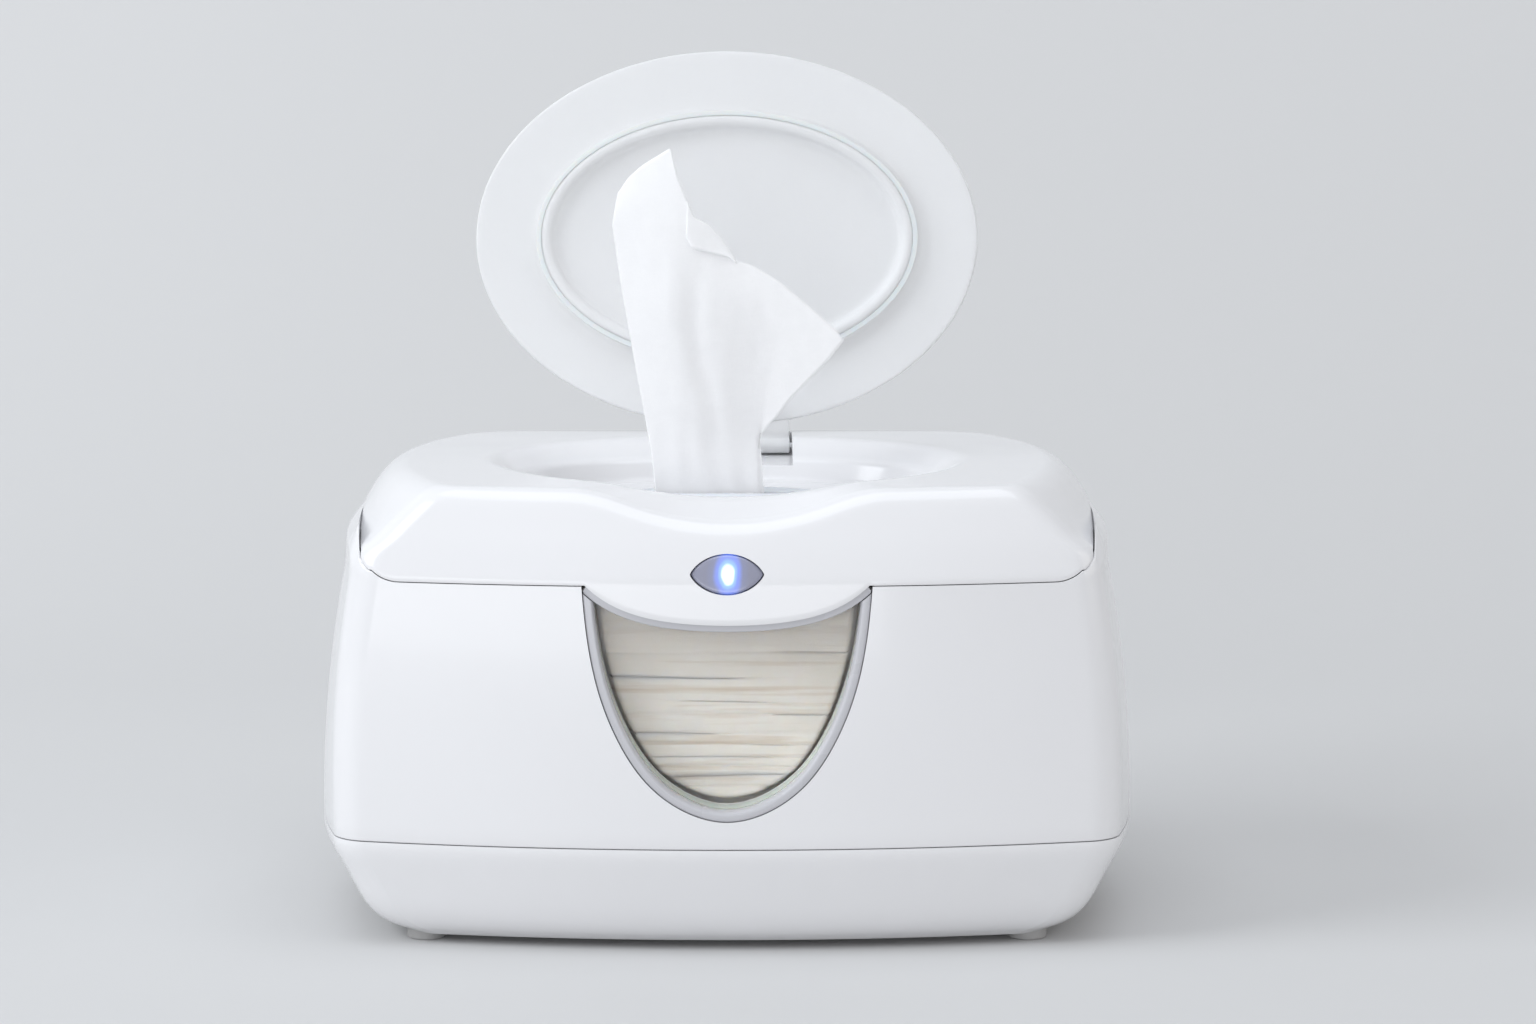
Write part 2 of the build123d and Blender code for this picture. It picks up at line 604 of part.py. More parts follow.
def lead(points, bend):
    """A wire along straight runs joined by tangent arcs of radius bend."""
    path = FilletPolyline(*points, radius=bend)
    start = Plane(origin=points[0], z_dir=Vector(*points[1]) - Vector(*points[0]))
    return sweep(start * Circle(WIRE), path=path)


def power_leads():
    """Two leads from the inlet round the heater to the board, one above the other."""
    wires = []
    for k in (0, 1):
        x, reach, landing = 2.0 - 4.0 * k, 60.0 + 2.2 * k, 22.0 + 3.0 * k
        z = 124.9 + 2.2 * k
        points = [(x, 71.9, z - 0.3), (x, 64, z), (reach, 36, z), (reach, -40, z)]
        points += [(landing, -62, z + 0.6), (landing, BOARD_SOLDER_Y, z + 0.6)]
        wires.append(lead(points, 6.0))
    return wires


def heater_leads():
    """Two leads from the board down through the liner to the heating film."""
    z, bay = 127.0, -58.0
    wires = []
    for k, (x, y) in enumerate(LEAD_EXITS):
        start = -20.0 - 3.0 * k
        points = [(start, BOARD_SOLDER_Y, z), (start, -62, z), (bay, -44, z)]
        if y > 0:
            points.append((bay, 20, z))
        points += [(x, y, z), (x, y, LINER_Z[0] + 0.05)]
        wires.append(lead(points, 4.0))
    return wires


# ---- flip lid: drawn shut, then turned up to its open stop -------------------------------------
def opened(shape):
    y, z = LID_AXIS
    return Pos(0, y, z) * Rot(-LID_OPEN, 0, 0) * Pos(0, -y, -z) * shape


def flip_lid():
    low, top = LID_UNDER_Z, LID_UNDER_Z + LID_THICK
    plate = oval_prism(LID_HALF, low, top, LID_Y)
    plate = fillet(plate.edges(), 0.7)
    ring = oval_prism(PLUG_RING, PLUG_Z, low + 0.2, LID_Y)
    ring = ring - oval_prism(PLUG_RING, PLUG_Z - 1, low + 1, LID_Y, -PLUG_WIDTH)
    y, z = LID_AXIS
    web = [(y - 14, low), (y - 14, top), (y - 1.2, top), (y + 2.4, z + 1.0), (y - 2.4, z), (y - 2.4, low)]
    side = Face(Wire(Polyline(*[(-TAB_HALF, a, b) for a, b in web], close=True)))
    tab = extrude(side, 2 * TAB_HALF, dir=(1, 0, 0))
    barrel = cross_rod(-TAB_HALF, TAB_HALF, y, z, KNUCKLE)
    lid = plate + ring + tab + barrel - cross_rod(-40, 40, y, z, LID_PIN + RUNNING)
    return opened(lid)


def lid_seal():
    low = LID_UNDER_Z - 3.4
    ring = oval_prism(PLUG_RING, low, low + 2.0, LID_Y, 1.6)
    return opened(ring - oval_prism(PLUG_RING, low - 1, low + 3, LID_Y))


def lid_pin():
    return cross_rod(-26.8, 26.8, *LID_AXIS, LID_PIN)


# ---- light button ------------------------------------------------------------------------------
def light_button():
    lens = along_y(lens_face(), -92, -81.4) - block(-20, 20, -82.4, -80, 100, 119)
    lean = radians(15)
    dome, top = 62.0, (-87.3, BUTTON_Z)
    centre = (0, top[0] + dome * cos(lean), top[1] - dome * sin(lean))
    lens = lens & Pos(*centre) * Sphere(dome)
    rim = along_y(lens_face(1.6), -81.4, -80.4) & block(-20, 20, -90, -70, 119.0, 140)
    pipe = Pos(0, -79.5, LED_Z) * Rot(90, 0, 0) * Cylinder(2.2, 2.2)
    x, z = SWITCH_AT
    tip = BOARD_Y - 4.7 - BUTTON_TRAVEL - 0.1
    finger = block(x - 1.4, x + 1.4, -80.8, tip, z - 1.4, z + 1.4)
    return lens + rim + pipe + finger


# ---- popped-up wipe ----------------------------------------------------------------------------
WIPE_OUTLINE = [(-24.5, 124), (-24.8, 142), (-27.5, 157), (-31, 177), (-37.5, 225), (-35, 236), (-18.6, 249),
                (-13, 233), (-3, 221), (3, 212), (12, 210), (24, 202), (38.4, 186), (24, 169), (15.5, 162),
                (11, 153), (13.3, 141), (13.3, 124)]


def wipe_tip():
    """The wipe that stands in the slit: its front view, thin at the slit and thicker where it billows."""
    front = Face(Wire(Polyline(*[(x, 0, z) for x, z in WIPE_OUTLINE], close=True)))
    slabs = [(120, 1.6), (139.5, 1.8), (160, 7.0), (200, 11.0), (252, 6.0)]  # height, half thickness
    faces = [Pos(0, SLIT_Y, z) * Rectangle(100, 2 * half) for z, half in slabs]
    return along_y(front, -40, 40) & loft(faces, ruled=True)


NODES = {
    "base_tray": base_tray,
    "feet": feet,
    "base_screws": base_screws,
    "housing": housing,
    "window_bezel": window_bezel,
    "window_pane": window_pane,
    "window_seal": window_seal,
    "tub": tub,
    "wipe_stack": wipe_stack,
    "cover_hinge_pins": cover_pins,
    "cover_shell": cover_shell,
    "cover_liner": cover_liner,
    "cover_gasket": cover_gasket,
    "liner_screws": liner_screws,
    "heater_plate": heater_plate,
    "heater_film": heater_film,
    "insulation_pad": insulation_pad,
    "thermostat": thermostat,
    "control_board": control_board,
    "tact_switch": tact_switch,
    "status_led": status_led,
    "dc_jack": dc_jack,
    "dc_jack_pin": jack_pin,
    "power_leads": power_leads,
    "heater_leads": heater_leads,
    "wipe_orifice": wipe_orifice,
    "wipe_tip": wipe_tip,
    "lid_hinge_pin": lid_pin,
    "flip_lid": flip_lid,
    "lid_seal": lid_seal,
    "light_button": light_button,
}

os.makedirs("parts", exist_ok=True)
for name, make in NODES.items():
    shape = make()
    if isinstance(shape, list):
        shape = Compound(children=shape)
    shape.label = name
    export_step(shape, f"parts/{name}.step")
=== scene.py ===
# %% [markdown]
# # A wipe warmer, dressed for the camera
# The moulded parts, hinges and heater come ready made as solids, each in its real place.
# This lesson gives them their finish: glossy white shells, a frosted flip lid, a lit button
# and soft damp wipes. The frame is loaded first, and nothing in it is ever moved.

# %% The frame
from contextlib import contextmanager
from math import asin, atan2, cos, hypot, pi, radians, sin, sqrt, tan

import bmesh
import bpy
import numpy as np
from mathutils import Matrix, Vector


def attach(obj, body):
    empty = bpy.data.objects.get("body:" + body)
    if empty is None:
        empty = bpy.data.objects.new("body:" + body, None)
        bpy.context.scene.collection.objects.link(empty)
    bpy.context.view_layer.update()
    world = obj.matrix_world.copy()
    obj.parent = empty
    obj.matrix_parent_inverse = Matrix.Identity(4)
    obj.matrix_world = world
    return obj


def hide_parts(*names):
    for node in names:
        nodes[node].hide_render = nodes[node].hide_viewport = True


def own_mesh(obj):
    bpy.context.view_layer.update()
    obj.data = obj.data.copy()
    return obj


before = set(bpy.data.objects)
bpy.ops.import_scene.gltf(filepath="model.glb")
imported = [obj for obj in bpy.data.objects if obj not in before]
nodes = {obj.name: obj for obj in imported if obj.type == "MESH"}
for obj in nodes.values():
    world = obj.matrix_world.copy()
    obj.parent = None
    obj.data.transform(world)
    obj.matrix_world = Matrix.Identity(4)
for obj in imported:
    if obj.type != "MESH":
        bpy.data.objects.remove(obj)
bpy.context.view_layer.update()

MM = 0.001                      # every length below is in millimetres until a mesh is made

# %% [markdown]
# ## Camera and stage
# A long lens, a step back and slightly above the box, keeps its sides nearly parallel.
# The sensor is slid a little sideways, so that the box stands left of the middle. Turning the
# camera would do that too, but then the front would be seen at a slant.

# %% Camera
LOOK_DOWN = 7.64                # degrees below the horizon
camera_data = bpy.data.cameras.new("camera")
camera_data.sensor_width, camera_data.lens = 36.0, 107.76
camera_data.shift_x = 0.0267
camera_data.clip_end = 20.0
camera = bpy.data.objects.new("camera", camera_data)
camera.location = (0.0, -1.5, 0.330)
camera.rotation_euler = (radians(90 - LOOK_DOWN), 0.0, 0.0)
bpy.context.scene.collection.objects.link(camera)
bpy.context.scene.camera = camera


# %% Material helpers
def new_material(name):
    """An empty node material with its Principled shader, ready to be wired."""
    material = bpy.data.materials.new(name)
    material.use_nodes = True
    shader = material.node_tree.nodes["Principled BSDF"]
    return material, material.node_tree, shader


def set_inputs(tree, node, inputs):
    """Each input is a plain value, or a socket to link it to."""
    for key, value in inputs.items():
        if isinstance(value, bpy.types.NodeSocket):
            tree.links.new(value, node.inputs[key])
        else:
            node.inputs[key].default_value = value


def wire(tree, kind, inputs=None, **settings):
    """Adds a node, with its inputs and settings."""
    node = tree.nodes.new("ShaderNode" + kind)
    for key, value in settings.items():
        setattr(node, key, value)
    set_inputs(tree, node, inputs or {})
    return node


def mix_surface(tree, share, first, second):
    """The whole surface goes over from the first shader to the second one."""
    mixed = wire(tree, "MixShader", {0: share, 1: first.outputs[0], 2: second.outputs[0]})
    set_inputs(tree, tree.nodes["Material Output"], {"Surface": mixed.outputs[0]})


def plain_stage(name, colour, roughness):
    """Plain paper, seen only from its front, so that it never hides the box from a camera behind it."""
    material, tree, shader = new_material(name)
    set_inputs(tree, shader, {"Base Color": (*colour, 1), "Roughness": roughness})
    behind = wire(tree, "NewGeometry").outputs["Backfacing"]
    mix_surface(tree, behind, shader, wire(tree, "BsdfTransparent"))
    return material


# %% Floor, backdrop and lights
def stage_sheet():
    """One sheet of pale paper: flat under the box, swept up into a wall behind it."""
    half, front, back, bend, top = 6.0, -3.0, 0.42, 0.8, 4.0
    profile = [(front, 0.0), (back, 0.0)]
    profile += [(back + bend * sin(a), bend * (1 - cos(a))) for a in np.linspace(0, pi / 2, 17)[1:]]
    profile.append((back + bend, top))
    mesh = bpy.data.meshes.new("stage")
    verts = [(s * half, y, z) for y, z in profile for s in (-1, 1)]
    faces = [(2 * i, 2 * i + 1, 2 * i + 3, 2 * i + 2) for i in range(len(profile) - 1)]
    mesh.from_pydata(verts, [], faces)
    mesh.shade_smooth()
    floor = bpy.data.objects.new("stage", mesh)
    bpy.context.scene.collection.objects.link(floor)
    mesh.materials.append(plain_stage("stage_paper", (0.62, 0.62, 0.618), 0.8))


def area_light(name, place, target, size, watts, colour):
    light = bpy.data.lights.new(name, "AREA")
    light.shape, light.energy, light.color = "RECTANGLE", watts, colour
    light.size, light.size_y = size
    lamp = bpy.data.objects.new(name, light)
    lamp.location = place
    lamp.rotation_euler = (Vector(target) - Vector(place)).to_track_quat("-Z", "Y").to_euler()
    bpy.context.scene.collection.objects.link(lamp)


stage_sheet()
area_light("window_left", (-2.2, -0.85, 1.5), (0, 0, 0.12), (1.5, 1.8), 38.0, (0.93, 0.965, 1.0))
area_light("ceiling", (0.1, -0.35, 2.4), (0, 0, 0.1), (2.1, 1.8), 18.0, (0.87, 0.93, 1.0))
area_light("front_card", (-0.5, -2.4, 0.25), (0, 0, 0.05), (2.4, 0.6), 11.0, (0.95, 0.97, 1.0))
area_light("bounce_right", (2.2, -0.6, 0.9), (0, 0, 0.12), (1.2, 1.4), 5.9, (1.0, 0.95, 0.86))
world = bpy.data.worlds.new("studio")
world.use_nodes = True
set_inputs(world.node_tree, world.node_tree.nodes["Background"],
           {"Color": (0.95, 0.96, 1.0, 1), "Strength": 0.57})
bpy.context.scene.world = world
bpy.context.scene.view_settings.view_transform = "Standard"


# %% [markdown]
# ## Finishes: small effects first
# No moulded surface is one flat colour. Polished white plastic has a faint unevenness in tone, a
# soft orange peel left by the mould, and patches that hands have made a little duller. Cloth is a
# mat of fibres, and metal keeps the lines of its rolling. Each effect is a node group with named
# inputs, made once and placed in every material that needs it, with values of its own.
# Painted pictures would need every piece unwrapped, so the patterns are worked out from places
# instead, in the piece's own coordinates, in metres, and they never slide.

# %% Node helpers
def new_group(name, inputs, outputs):
    """An empty node group with its sockets: (label, kind, start value)."""
    group = bpy.data.node_groups.new(name, "ShaderNodeTree")
    for side, sockets in (("INPUT", inputs), ("OUTPUT", outputs)):
        for label, kind, *start in sockets:
            socket = group.interface.new_socket(label, in_out=side, socket_type="NodeSocket" + kind)
            if start:
                socket.default_value = start[0]
    return group, group.nodes.new("NodeGroupInput"), group.nodes.new("NodeGroupOutput")


def maths(tree, operation, a, b):
    return wire(tree, "Math", {0: a, 1: b}, operation=operation).outputs[0]


def plus(tree, a, b):
    return maths(tree, "ADD", a, b)


def times(tree, a, b):
    return maths(tree, "MULTIPLY", a, b)


def span(tree, value, low, high, to_low, to_high):
    """Maps low..high to to_low..to_high, and clamps."""
    return wire(tree, "MapRange", {"Value": value, "From Min": low, "From Max": high,
                                   "To Min": to_low, "To Max": to_high}).outputs[0]


def noise(tree, place, scale, detail=2.0, rough=0.5, twist=0.0):
    return wire(tree, "TexNoise", {"Vector": place, "Scale": scale, "Detail": detail, "Roughness": rough,
                                   "Distortion": twist}).outputs["Fac"]


def own_place(tree, stretch=None):
    """The piece's own coordinates, in metres, stretched where a pattern has a direction."""
    place = wire(tree, "TexCoord").outputs["Object"]
    if stretch:
        place = wire(tree, "Mapping", {"Vector": place, "Scale": stretch}).outputs[0]
    return place


def blend(tree, share, a, b):
    """Colour a, going over to colour b as share goes from 0 to 1."""
    return wire(tree, "Mix", {0: share, 6: a, 7: b}, data_type="RGBA").outputs[2]


# %% Moulded skin
SKIN = [("Colour", "Color"), ("Roughness", "Float", 0.3), ("Mottle", "Float", 0.02), ("Smear", "Float", 0.05),
        ("Peel", "Float", 0.3), ("Grain", "Float", 0.1)]
SURFACE = [("Colour", "Color"), ("Roughness", "Float"), ("Height", "Float")]
tree, given, made = new_group("moulded_skin", SKIN, SURFACE)
given, place = given.outputs, own_place(tree)
tone = span(tree, noise(tree, place, 11.0, 3.0), 0.35, 0.65, -1.0, 0.0)
tone = plus(tree, times(tree, tone, given["Mottle"]), 1.0)
colour = wire(tree, "HueSaturation", {"Color": given["Colour"], "Value": tone}).outputs[0]
hands = span(tree, noise(tree, place, 26.0, 2.0, 0.45), 0.3, 0.7, -0.5, 0.6)
dull = plus(tree, times(tree, hands, given["Smear"]), given["Roughness"])
peel = times(tree, noise(tree, place, 260.0, 1.0), given["Peel"])
grain = times(tree, noise(tree, place, 1900.0, 2.0), given["Grain"])
set_inputs(tree, made, {"Colour": colour, "Roughness": dull, "Height": plus(tree, peel, grain)})
moulded_skin = tree
print("moulded_skin:", len(tree.nodes), "nodes")

# %% [markdown]
# Dust settles only on faces that look up, and it lies in loose patches. The mask is the upward
# part of the surface's normal, broken by two sizes of noise, so walls stay clean.

# %% Settled dust
tree, given, made = new_group(
    "settled_dust", [("Colour", "Color"), ("Roughness", "Float", 0.3), ("Amount", "Float", 0.05)],
    SURFACE[:2])
given, place = given.outputs, own_place(tree)
up = wire(tree, "SeparateXYZ", {0: wire(tree, "NewGeometry").outputs["Normal"]}).outputs["Z"]
loose = times(tree, noise(tree, place, 60.0, 5.0, 0.7), noise(tree, place, 900.0))
mask = times(tree, span(tree, up, 0.4, 1.0, 0.0, 4.0), loose)
mask = times(tree, mask, given["Amount"])
set_inputs(tree, made, {"Colour": blend(tree, mask, given["Colour"], (0.56, 0.54, 0.51, 1)),
                        "Roughness": plus(tree, given["Roughness"], mask)})
settled_dust = tree
print("settled_dust:", len(tree.nodes), "nodes")

# %% [markdown]
# A wipe is spunlace: long fibres tangled by water jets, with no weave. Close up it is a mat of
# short soft strands that run every way, a little denser in some places than in others. Two noises
# stretched across each other stand for the strands, and a slower one for the thick and thin spots.
# Real strands would be far too many to draw.

# %% Tangled fibres
tree, given, made = new_group(
    "tangled_fibres", [("Colour", "Color"), ("Hollows", "Color"), ("Roughness", "Float", 0.9),
                       ("Density", "Float", 0.5), ("Strands", "Float", 0.4), ("Crinkle", "Float", 0.5)],
    SURFACE)
given = given.outputs
across = noise(tree, own_place(tree, (2600.0, 2600.0, 420.0)), 1.0, 3.0, 0.6, 0.6)
along = noise(tree, own_place(tree, (420.0, 900.0, 2300.0)), 1.0, 3.0, 0.6, 0.6)
strands = times(tree, plus(tree, across, along), 0.5)
clumps = noise(tree, own_place(tree), 170.0, 4.0, 0.6)
thin = span(tree, times(tree, strands, clumps), 0.16, 0.34, 1.0, 0.0)
thin = times(tree, thin, given["Density"])
damp_and_painted_shade = span(tree, noise(tree, own_place(tree), 30.0, 2.0), 0.3, 0.7, -0.12, 0.05)
raised, crinkled = times(tree, strands, given["Strands"]), times(tree, clumps, given["Crinkle"])
set_inputs(tree, made, {"Colour": blend(tree, thin, given["Colour"], given["Hollows"]),
                        "Roughness": plus(tree, damp_and_painted_shade, given["Roughness"]),
                        "Height": plus(tree, raised, crinkled)})
tangled_fibres = tree
print("tangled_fibres:", len(tree.nodes), "nodes")

# %% [markdown]
# Sheet and wire keep fine parallel lines from the rolls and dies that they went through. The
# lines are a noise that is stretched along the metal, and they change its shine as well as its
# height. A slow stain on top keeps a large sheet from looking like a mirror.

# %% Drawn metal
tree, given, made = new_group(
    "drawn_metal", [("Colour", "Color"), ("Roughness", "Float", 0.3), ("Lines", "Float", 0.2),
                    ("Stretch", "Vector", (60.0, 2200.0, 2200.0))], SURFACE)
given, place = given.outputs, own_place(tree)
stretched = wire(tree, "VectorMath", {0: place, 1: given["Stretch"]}, operation="MULTIPLY").outputs[0]
lines = noise(tree, stretched, 1.0, 3.0, 0.6)
stain = span(tree, noise(tree, place, 26.0, 4.0, 0.6, 0.4), 0.35, 0.7, 1.0, 0.86)
shade = times(tree, stain, span(tree, lines, 0.3, 0.7, 0.94, 1.04))
wear = times(tree, maths(tree, "SUBTRACT", lines, 0.5), given["Lines"])
set_inputs(tree, made, {
    "Colour": wire(tree, "HueSaturation", {"Color": given["Colour"], "Value": shade}).outputs[0],
    "Roughness": plus(tree, wear, given["Roughness"]), "Height": times(tree, lines, given["Lines"])})
drawn_metal = tree
print("drawn_metal:", len(tree.nodes), "nodes")


# %% [markdown]
# ## The materials
# Each finish is a Principled shader fed by the effects above. A helper places a group, links its
# colour, roughness and height, and gives the height a Bump. Values that are the same all over
# the surface are set on the shader itself.

# %% Building a material
def place_group(tree, group, **values):
    node = wire(tree, "Group", node_tree=group)
    set_inputs(tree, node, values)
    return node.outputs


def bump(tree, shader, height, depth):
    """Height, from 0 to 1, as relief of depth millimetres."""
    relief = wire(tree, "Bump", {"Height": height, "Distance": depth * MM, "Strength": 1.0})
    set_inputs(tree, shader, {"Normal": relief.outputs[0]})


def dress(name, group, depth, dust=0.0, plain=None, **values):
    """A material from one surface group, with dust on top if it has any."""
    material, tree, shader = new_material(name)
    surface = place_group(tree, group, **values)
    top = surface
    if dust:
        top = place_group(tree, settled_dust, Amount=dust, Colour=surface["Colour"],
                          Roughness=surface["Roughness"])
    set_inputs(tree, shader, {"Base Color": top["Colour"], "Roughness": top["Roughness"], **(plain or {})})
    bump(tree, shader, surface["Height"], depth)
    return material


def skin_values(colour, *values):
    """Values for the inputs of moulded_skin, in the order of SKIN."""
    return dict(zip((label for label, *_ in SKIN), ((*colour, 1), *values)))


def moulded(name, *values):
    """The start of a moulded material that has more wired into it: its tree, shader and skin."""
    finish[name], tree, shader = new_material(name)
    skin = place_group(tree, moulded_skin, **skin_values(*values))
    set_inputs(tree, shader, {"Base Color": skin["Colour"], "Roughness": skin["Roughness"]})
    return tree, shader, skin


# %% [markdown]
# The shells are polished white ABS, cool in tone. The rims and seals are light grey. Inside, where
# nobody polishes a mould, the plastic is satin, and the liner that faces the tub is a shade greyer.

# %% Plastics and rubber
SOFT = {"Subsurface Weight": 0.3}
FROSTED = {"Transmission Weight": 0.3, "IOR": 1.25, "Subsurface Weight": 0.5, "Subsurface Scale": 1.0,
           "Subsurface Radius": (0.003, 0.003, 0.003)}
POLISHED = {"Coat Weight": 0.2, "Coat Roughness": 0.05}
PLASTICS = {  # relief in mm, dust, values of the shader, then colour, roughness, mottle, smear, peel, grain
    "white_gloss": (0.02, 0.004, POLISHED, (0.80, 0.798, 0.808), 0.17, 0.01, 0.03, 0.15, 0.0),
    "grey_gloss": (0.02, 0.0, {"Coat Weight": 0.15}, (0.54, 0.54, 0.565), 0.26, 0.03, 0.06, 0.4, 0.15),
    "inner_white": (0.05, 0.0, {}, (0.82, 0.815, 0.80), 0.42, 0.03, 0.08, 0.4, 0.5),
    "liner_grey": (0.05, 0.0, {}, (0.68, 0.685, 0.705), 0.4, 0.03, 0.08, 0.3, 0.5),
    "orifice_white": (0.05, 0.05, {"Subsurface Weight": 0.1}, (0.79, 0.80, 0.83), 0.42, 0.03, 0.1, 0.4, 0.6),
    "grey_rubber": (0.08, 0.25, {}, (0.42, 0.415, 0.41), 0.68, 0.14, 0.12, 0.2, 0.9),
    "lid_frosted": (0.04, 0.0, FROSTED, (0.92, 0.925, 0.93), 0.45, 0.02, 0.06, 0.35, 0.6),
    "seal_white": (0.05, 0.0, SOFT, (0.80, 0.79, 0.77), 0.5, 0.03, 0.08, 0.3, 0.6),
    "seal_cream": (0.05, 0.0, SOFT, (0.66, 0.63, 0.575), 0.6, 0.05, 0.08, 0.3, 0.6),
    "part_black": (0.04, 0.1, {}, (0.022, 0.022, 0.024), 0.42, 0.2, 0.12, 0.2, 0.8),
    "lead_black": (0.04, 0.0, {}, (0.02, 0.02, 0.021), 0.38, 0.2, 0.1, 0.5, 0.3),
    "lead_red": (0.04, 0.0, {}, (0.42, 0.022, 0.018), 0.38, 0.15, 0.1, 0.5, 0.3)}
finish = {}
for name, (depth, dust, plain, *values) in PLASTICS.items():
    finish[name] = dress(name, moulded_skin, depth, dust, plain, **skin_values(*values))
print("plastics and rubber:", len(finish))

# %% [markdown]
# The screws and pins are drawn steel, the heater plate is rolled aluminium, and the jack's pin is
# plated brass. The pad above the plate is felt, which is the wipe's mat of fibres again, greyer.

# %% Metal, felt and cloth
METALS = {  # colour, roughness, lines, stretch
    "steel": ((0.56, 0.56, 0.57), 0.3, 0.25, (90.0, 1900.0, 1900.0)),
    "heater_aluminium": ((0.74, 0.74, 0.75), 0.36, 0.3, (50.0, 1500.0, 1500.0)),
    "pin_brass": ((0.72, 0.55, 0.24), 0.28, 0.2, (1900.0, 90.0, 1900.0))}
for name, (colour, roughness, lines, stretch) in METALS.items():
    finish[name] = dress(name, drawn_metal, 0.01, 0.0, {"Metallic": 1.0}, Colour=(*colour, 1),
                         Roughness=roughness, Lines=lines, Stretch=stretch)
finish["pad_grey"] = dress(
    "pad_grey", tangled_fibres, 0.5, 0.0, {"Sheen Weight": 0.3}, Colour=(0.36, 0.36, 0.37, 1),
    Hollows=(0.2, 0.2, 0.21, 1), Roughness=0.95, Density=0.8, Strands=0.9, Crinkle=0.6)
finish["wipe_cloth"] = dress(
    "wipe_cloth", tangled_fibres, 0.12, 0.0,
    {"Sheen Weight": 0.25, "Sheen Roughness": 0.5, "Subsurface Weight": 0.3, "Subsurface Scale": 1.0,
     "Subsurface Radius": (0.002, 0.002, 0.002)}, Colour=(0.975, 0.975, 0.98, 1),
    Hollows=(0.90, 0.90, 0.91, 1), Roughness=0.88, Density=0.35, Strands=0.35, Crinkle=0.5)

# %% [markdown]
# The stack behind the window looks warmer than the wipe in the light, and its moist layers lie tight on one
# another. A brownish line of painted shade runs where each fold meets the next. The lines wander a little, so
# the pattern is a noise with long stretches across and short steps up the stack. The stack's left and right
# edges and its top are darkened with painted shade as well, where the window's jambs and the cover's tab
# shade it.

# %% Stack cloth
finish["stack_cloth"], tree, shader = new_material("stack_cloth")
fibres = place_group(tree, tangled_fibres, Colour=(0.80, 0.78, 0.735, 1), Hollows=(0.74, 0.71, 0.65, 1),
                     Roughness=0.7, Density=0.5, Strands=0.4, Crinkle=0.8)
layers = noise(tree, own_place(tree, (14.0, 20.0, 330.0)), 1.0, 4.0, 0.55, 0.35)
# Painted shade: brownish lines in the creases between the layers.
painted_crease_shade = span(tree, layers, 0.53, 0.72, 0.0, 0.7)
colour = blend(tree, painted_crease_shade, fibres["Colour"], (0.58, 0.48, 0.37, 1))
spot = wire(tree, "SeparateXYZ", {0: own_place(tree)}).outputs
# Painted shade: darker towards the left and right edges and towards the top, where the jambs and the tab
# shade the stack.
painted_side_shade = span(tree, maths(tree, "ABSOLUTE", spot["X"], 0.0), 0.020, 0.044, 0.0, 0.45)
damp_and_painted_shade = maths(tree, "MAXIMUM", painted_side_shade, span(tree, spot["Z"], 0.083, 0.101, 0.0, 0.7))
set_inputs(tree, shader, {
    "Base Color": blend(tree, damp_and_painted_shade, colour, (0.56, 0.515, 0.46, 1)), "Roughness": fibres["Roughness"],
    "Subsurface Weight": 0.5, "Subsurface Scale": 1.0, "Subsurface Radius": (0.004, 0.003, 0.002)})
bump(tree, shader, plus(tree, fibres["Height"], layers), 0.2)
print("finishes so far:", len(finish))

# %% [markdown]
# ## Clear and lit things
# The pane is clear acrylic. A clear thing still throws a full shadow here, so lamps are let past
# it: for a shadow ray the surface is a plain transparent one, faintly grey. For every other ray
# it's glass, with a slight waviness and a breath of haze where the warm air meets it.

# %% Window pane
finish["window_clear"], tree, shader = new_material("window_clear")
place = own_place(tree)
haze = span(tree, noise(tree, place, 40.0, 3.0, 0.6, 0.5), 0.4, 0.75, 0.03, 0.12)
set_inputs(tree, shader, {"Base Color": (0.985, 0.98, 0.97, 1), "Transmission Weight": 1.0, "IOR": 1.3,
                          "Roughness": haze})
bump(tree, shader, noise(tree, place, 45.0, 2.0), 0.06)
mix_surface(tree, wire(tree, "LightPath").outputs["Is Shadow Ray"], shader,
            wire(tree, "BsdfTransparent", {"Color": (0.97, 0.965, 0.955, 1)}))

# %% [markdown]
# The button's lens is milky and grey-lilac. Its light pipe ends a little above the middle, so the
# lens shines white there, then blue, and the colour dies away towards the tips. The glow is a
# distance from the pipe, measured in the lens's own height and width, fed to Emission Color. A lamp
# inside would do it too, but its light would have to find its way out, and that leaves grain.

# %% Button lens and LED
GLOW_MIDDLE, GLOW_HALF = (0.0004, 0.1209), (0.0036, 0.0058)     # metres, across and up
tree, shader, skin = moulded("button_lens", (0.30, 0.305, 0.385), 0.2, 0.06, 0.08, 0.4, 0.2)
bump(tree, shader, skin["Height"], 0.02)
place = wire(tree, "Mapping", {"Vector": own_place(tree), "Location": (-GLOW_MIDDLE[0], 0.0, -GLOW_MIDDLE[1]),
                               "Scale": (1.0, 0.0, 1.0)}).outputs[0]
place = wire(tree, "VectorMath", {0: place, 1: (1 / GLOW_HALF[0], 0.0, 1 / GLOW_HALF[1])},
             operation="MULTIPLY").outputs[0]
away = wire(tree, "VectorMath", {0: place}, operation="LENGTH").outputs["Value"]
away = plus(tree, away, span(tree, noise(tree, own_place(tree), 210.0, 1.0), 0.3, 0.7, -0.07, 0.07))
glow = wire(tree, "ValToRGB", {"Fac": times(tree, away, 0.5)})
ramp = glow.color_ramp
ramp.interpolation = "EASE"
ramp.elements[0].position, ramp.elements[0].color = 0.10, (1.0, 1.0, 1.0, 1)
ramp.elements[1].position, ramp.elements[1].color = 1.0, (0.0, 0.0, 0.004, 1)
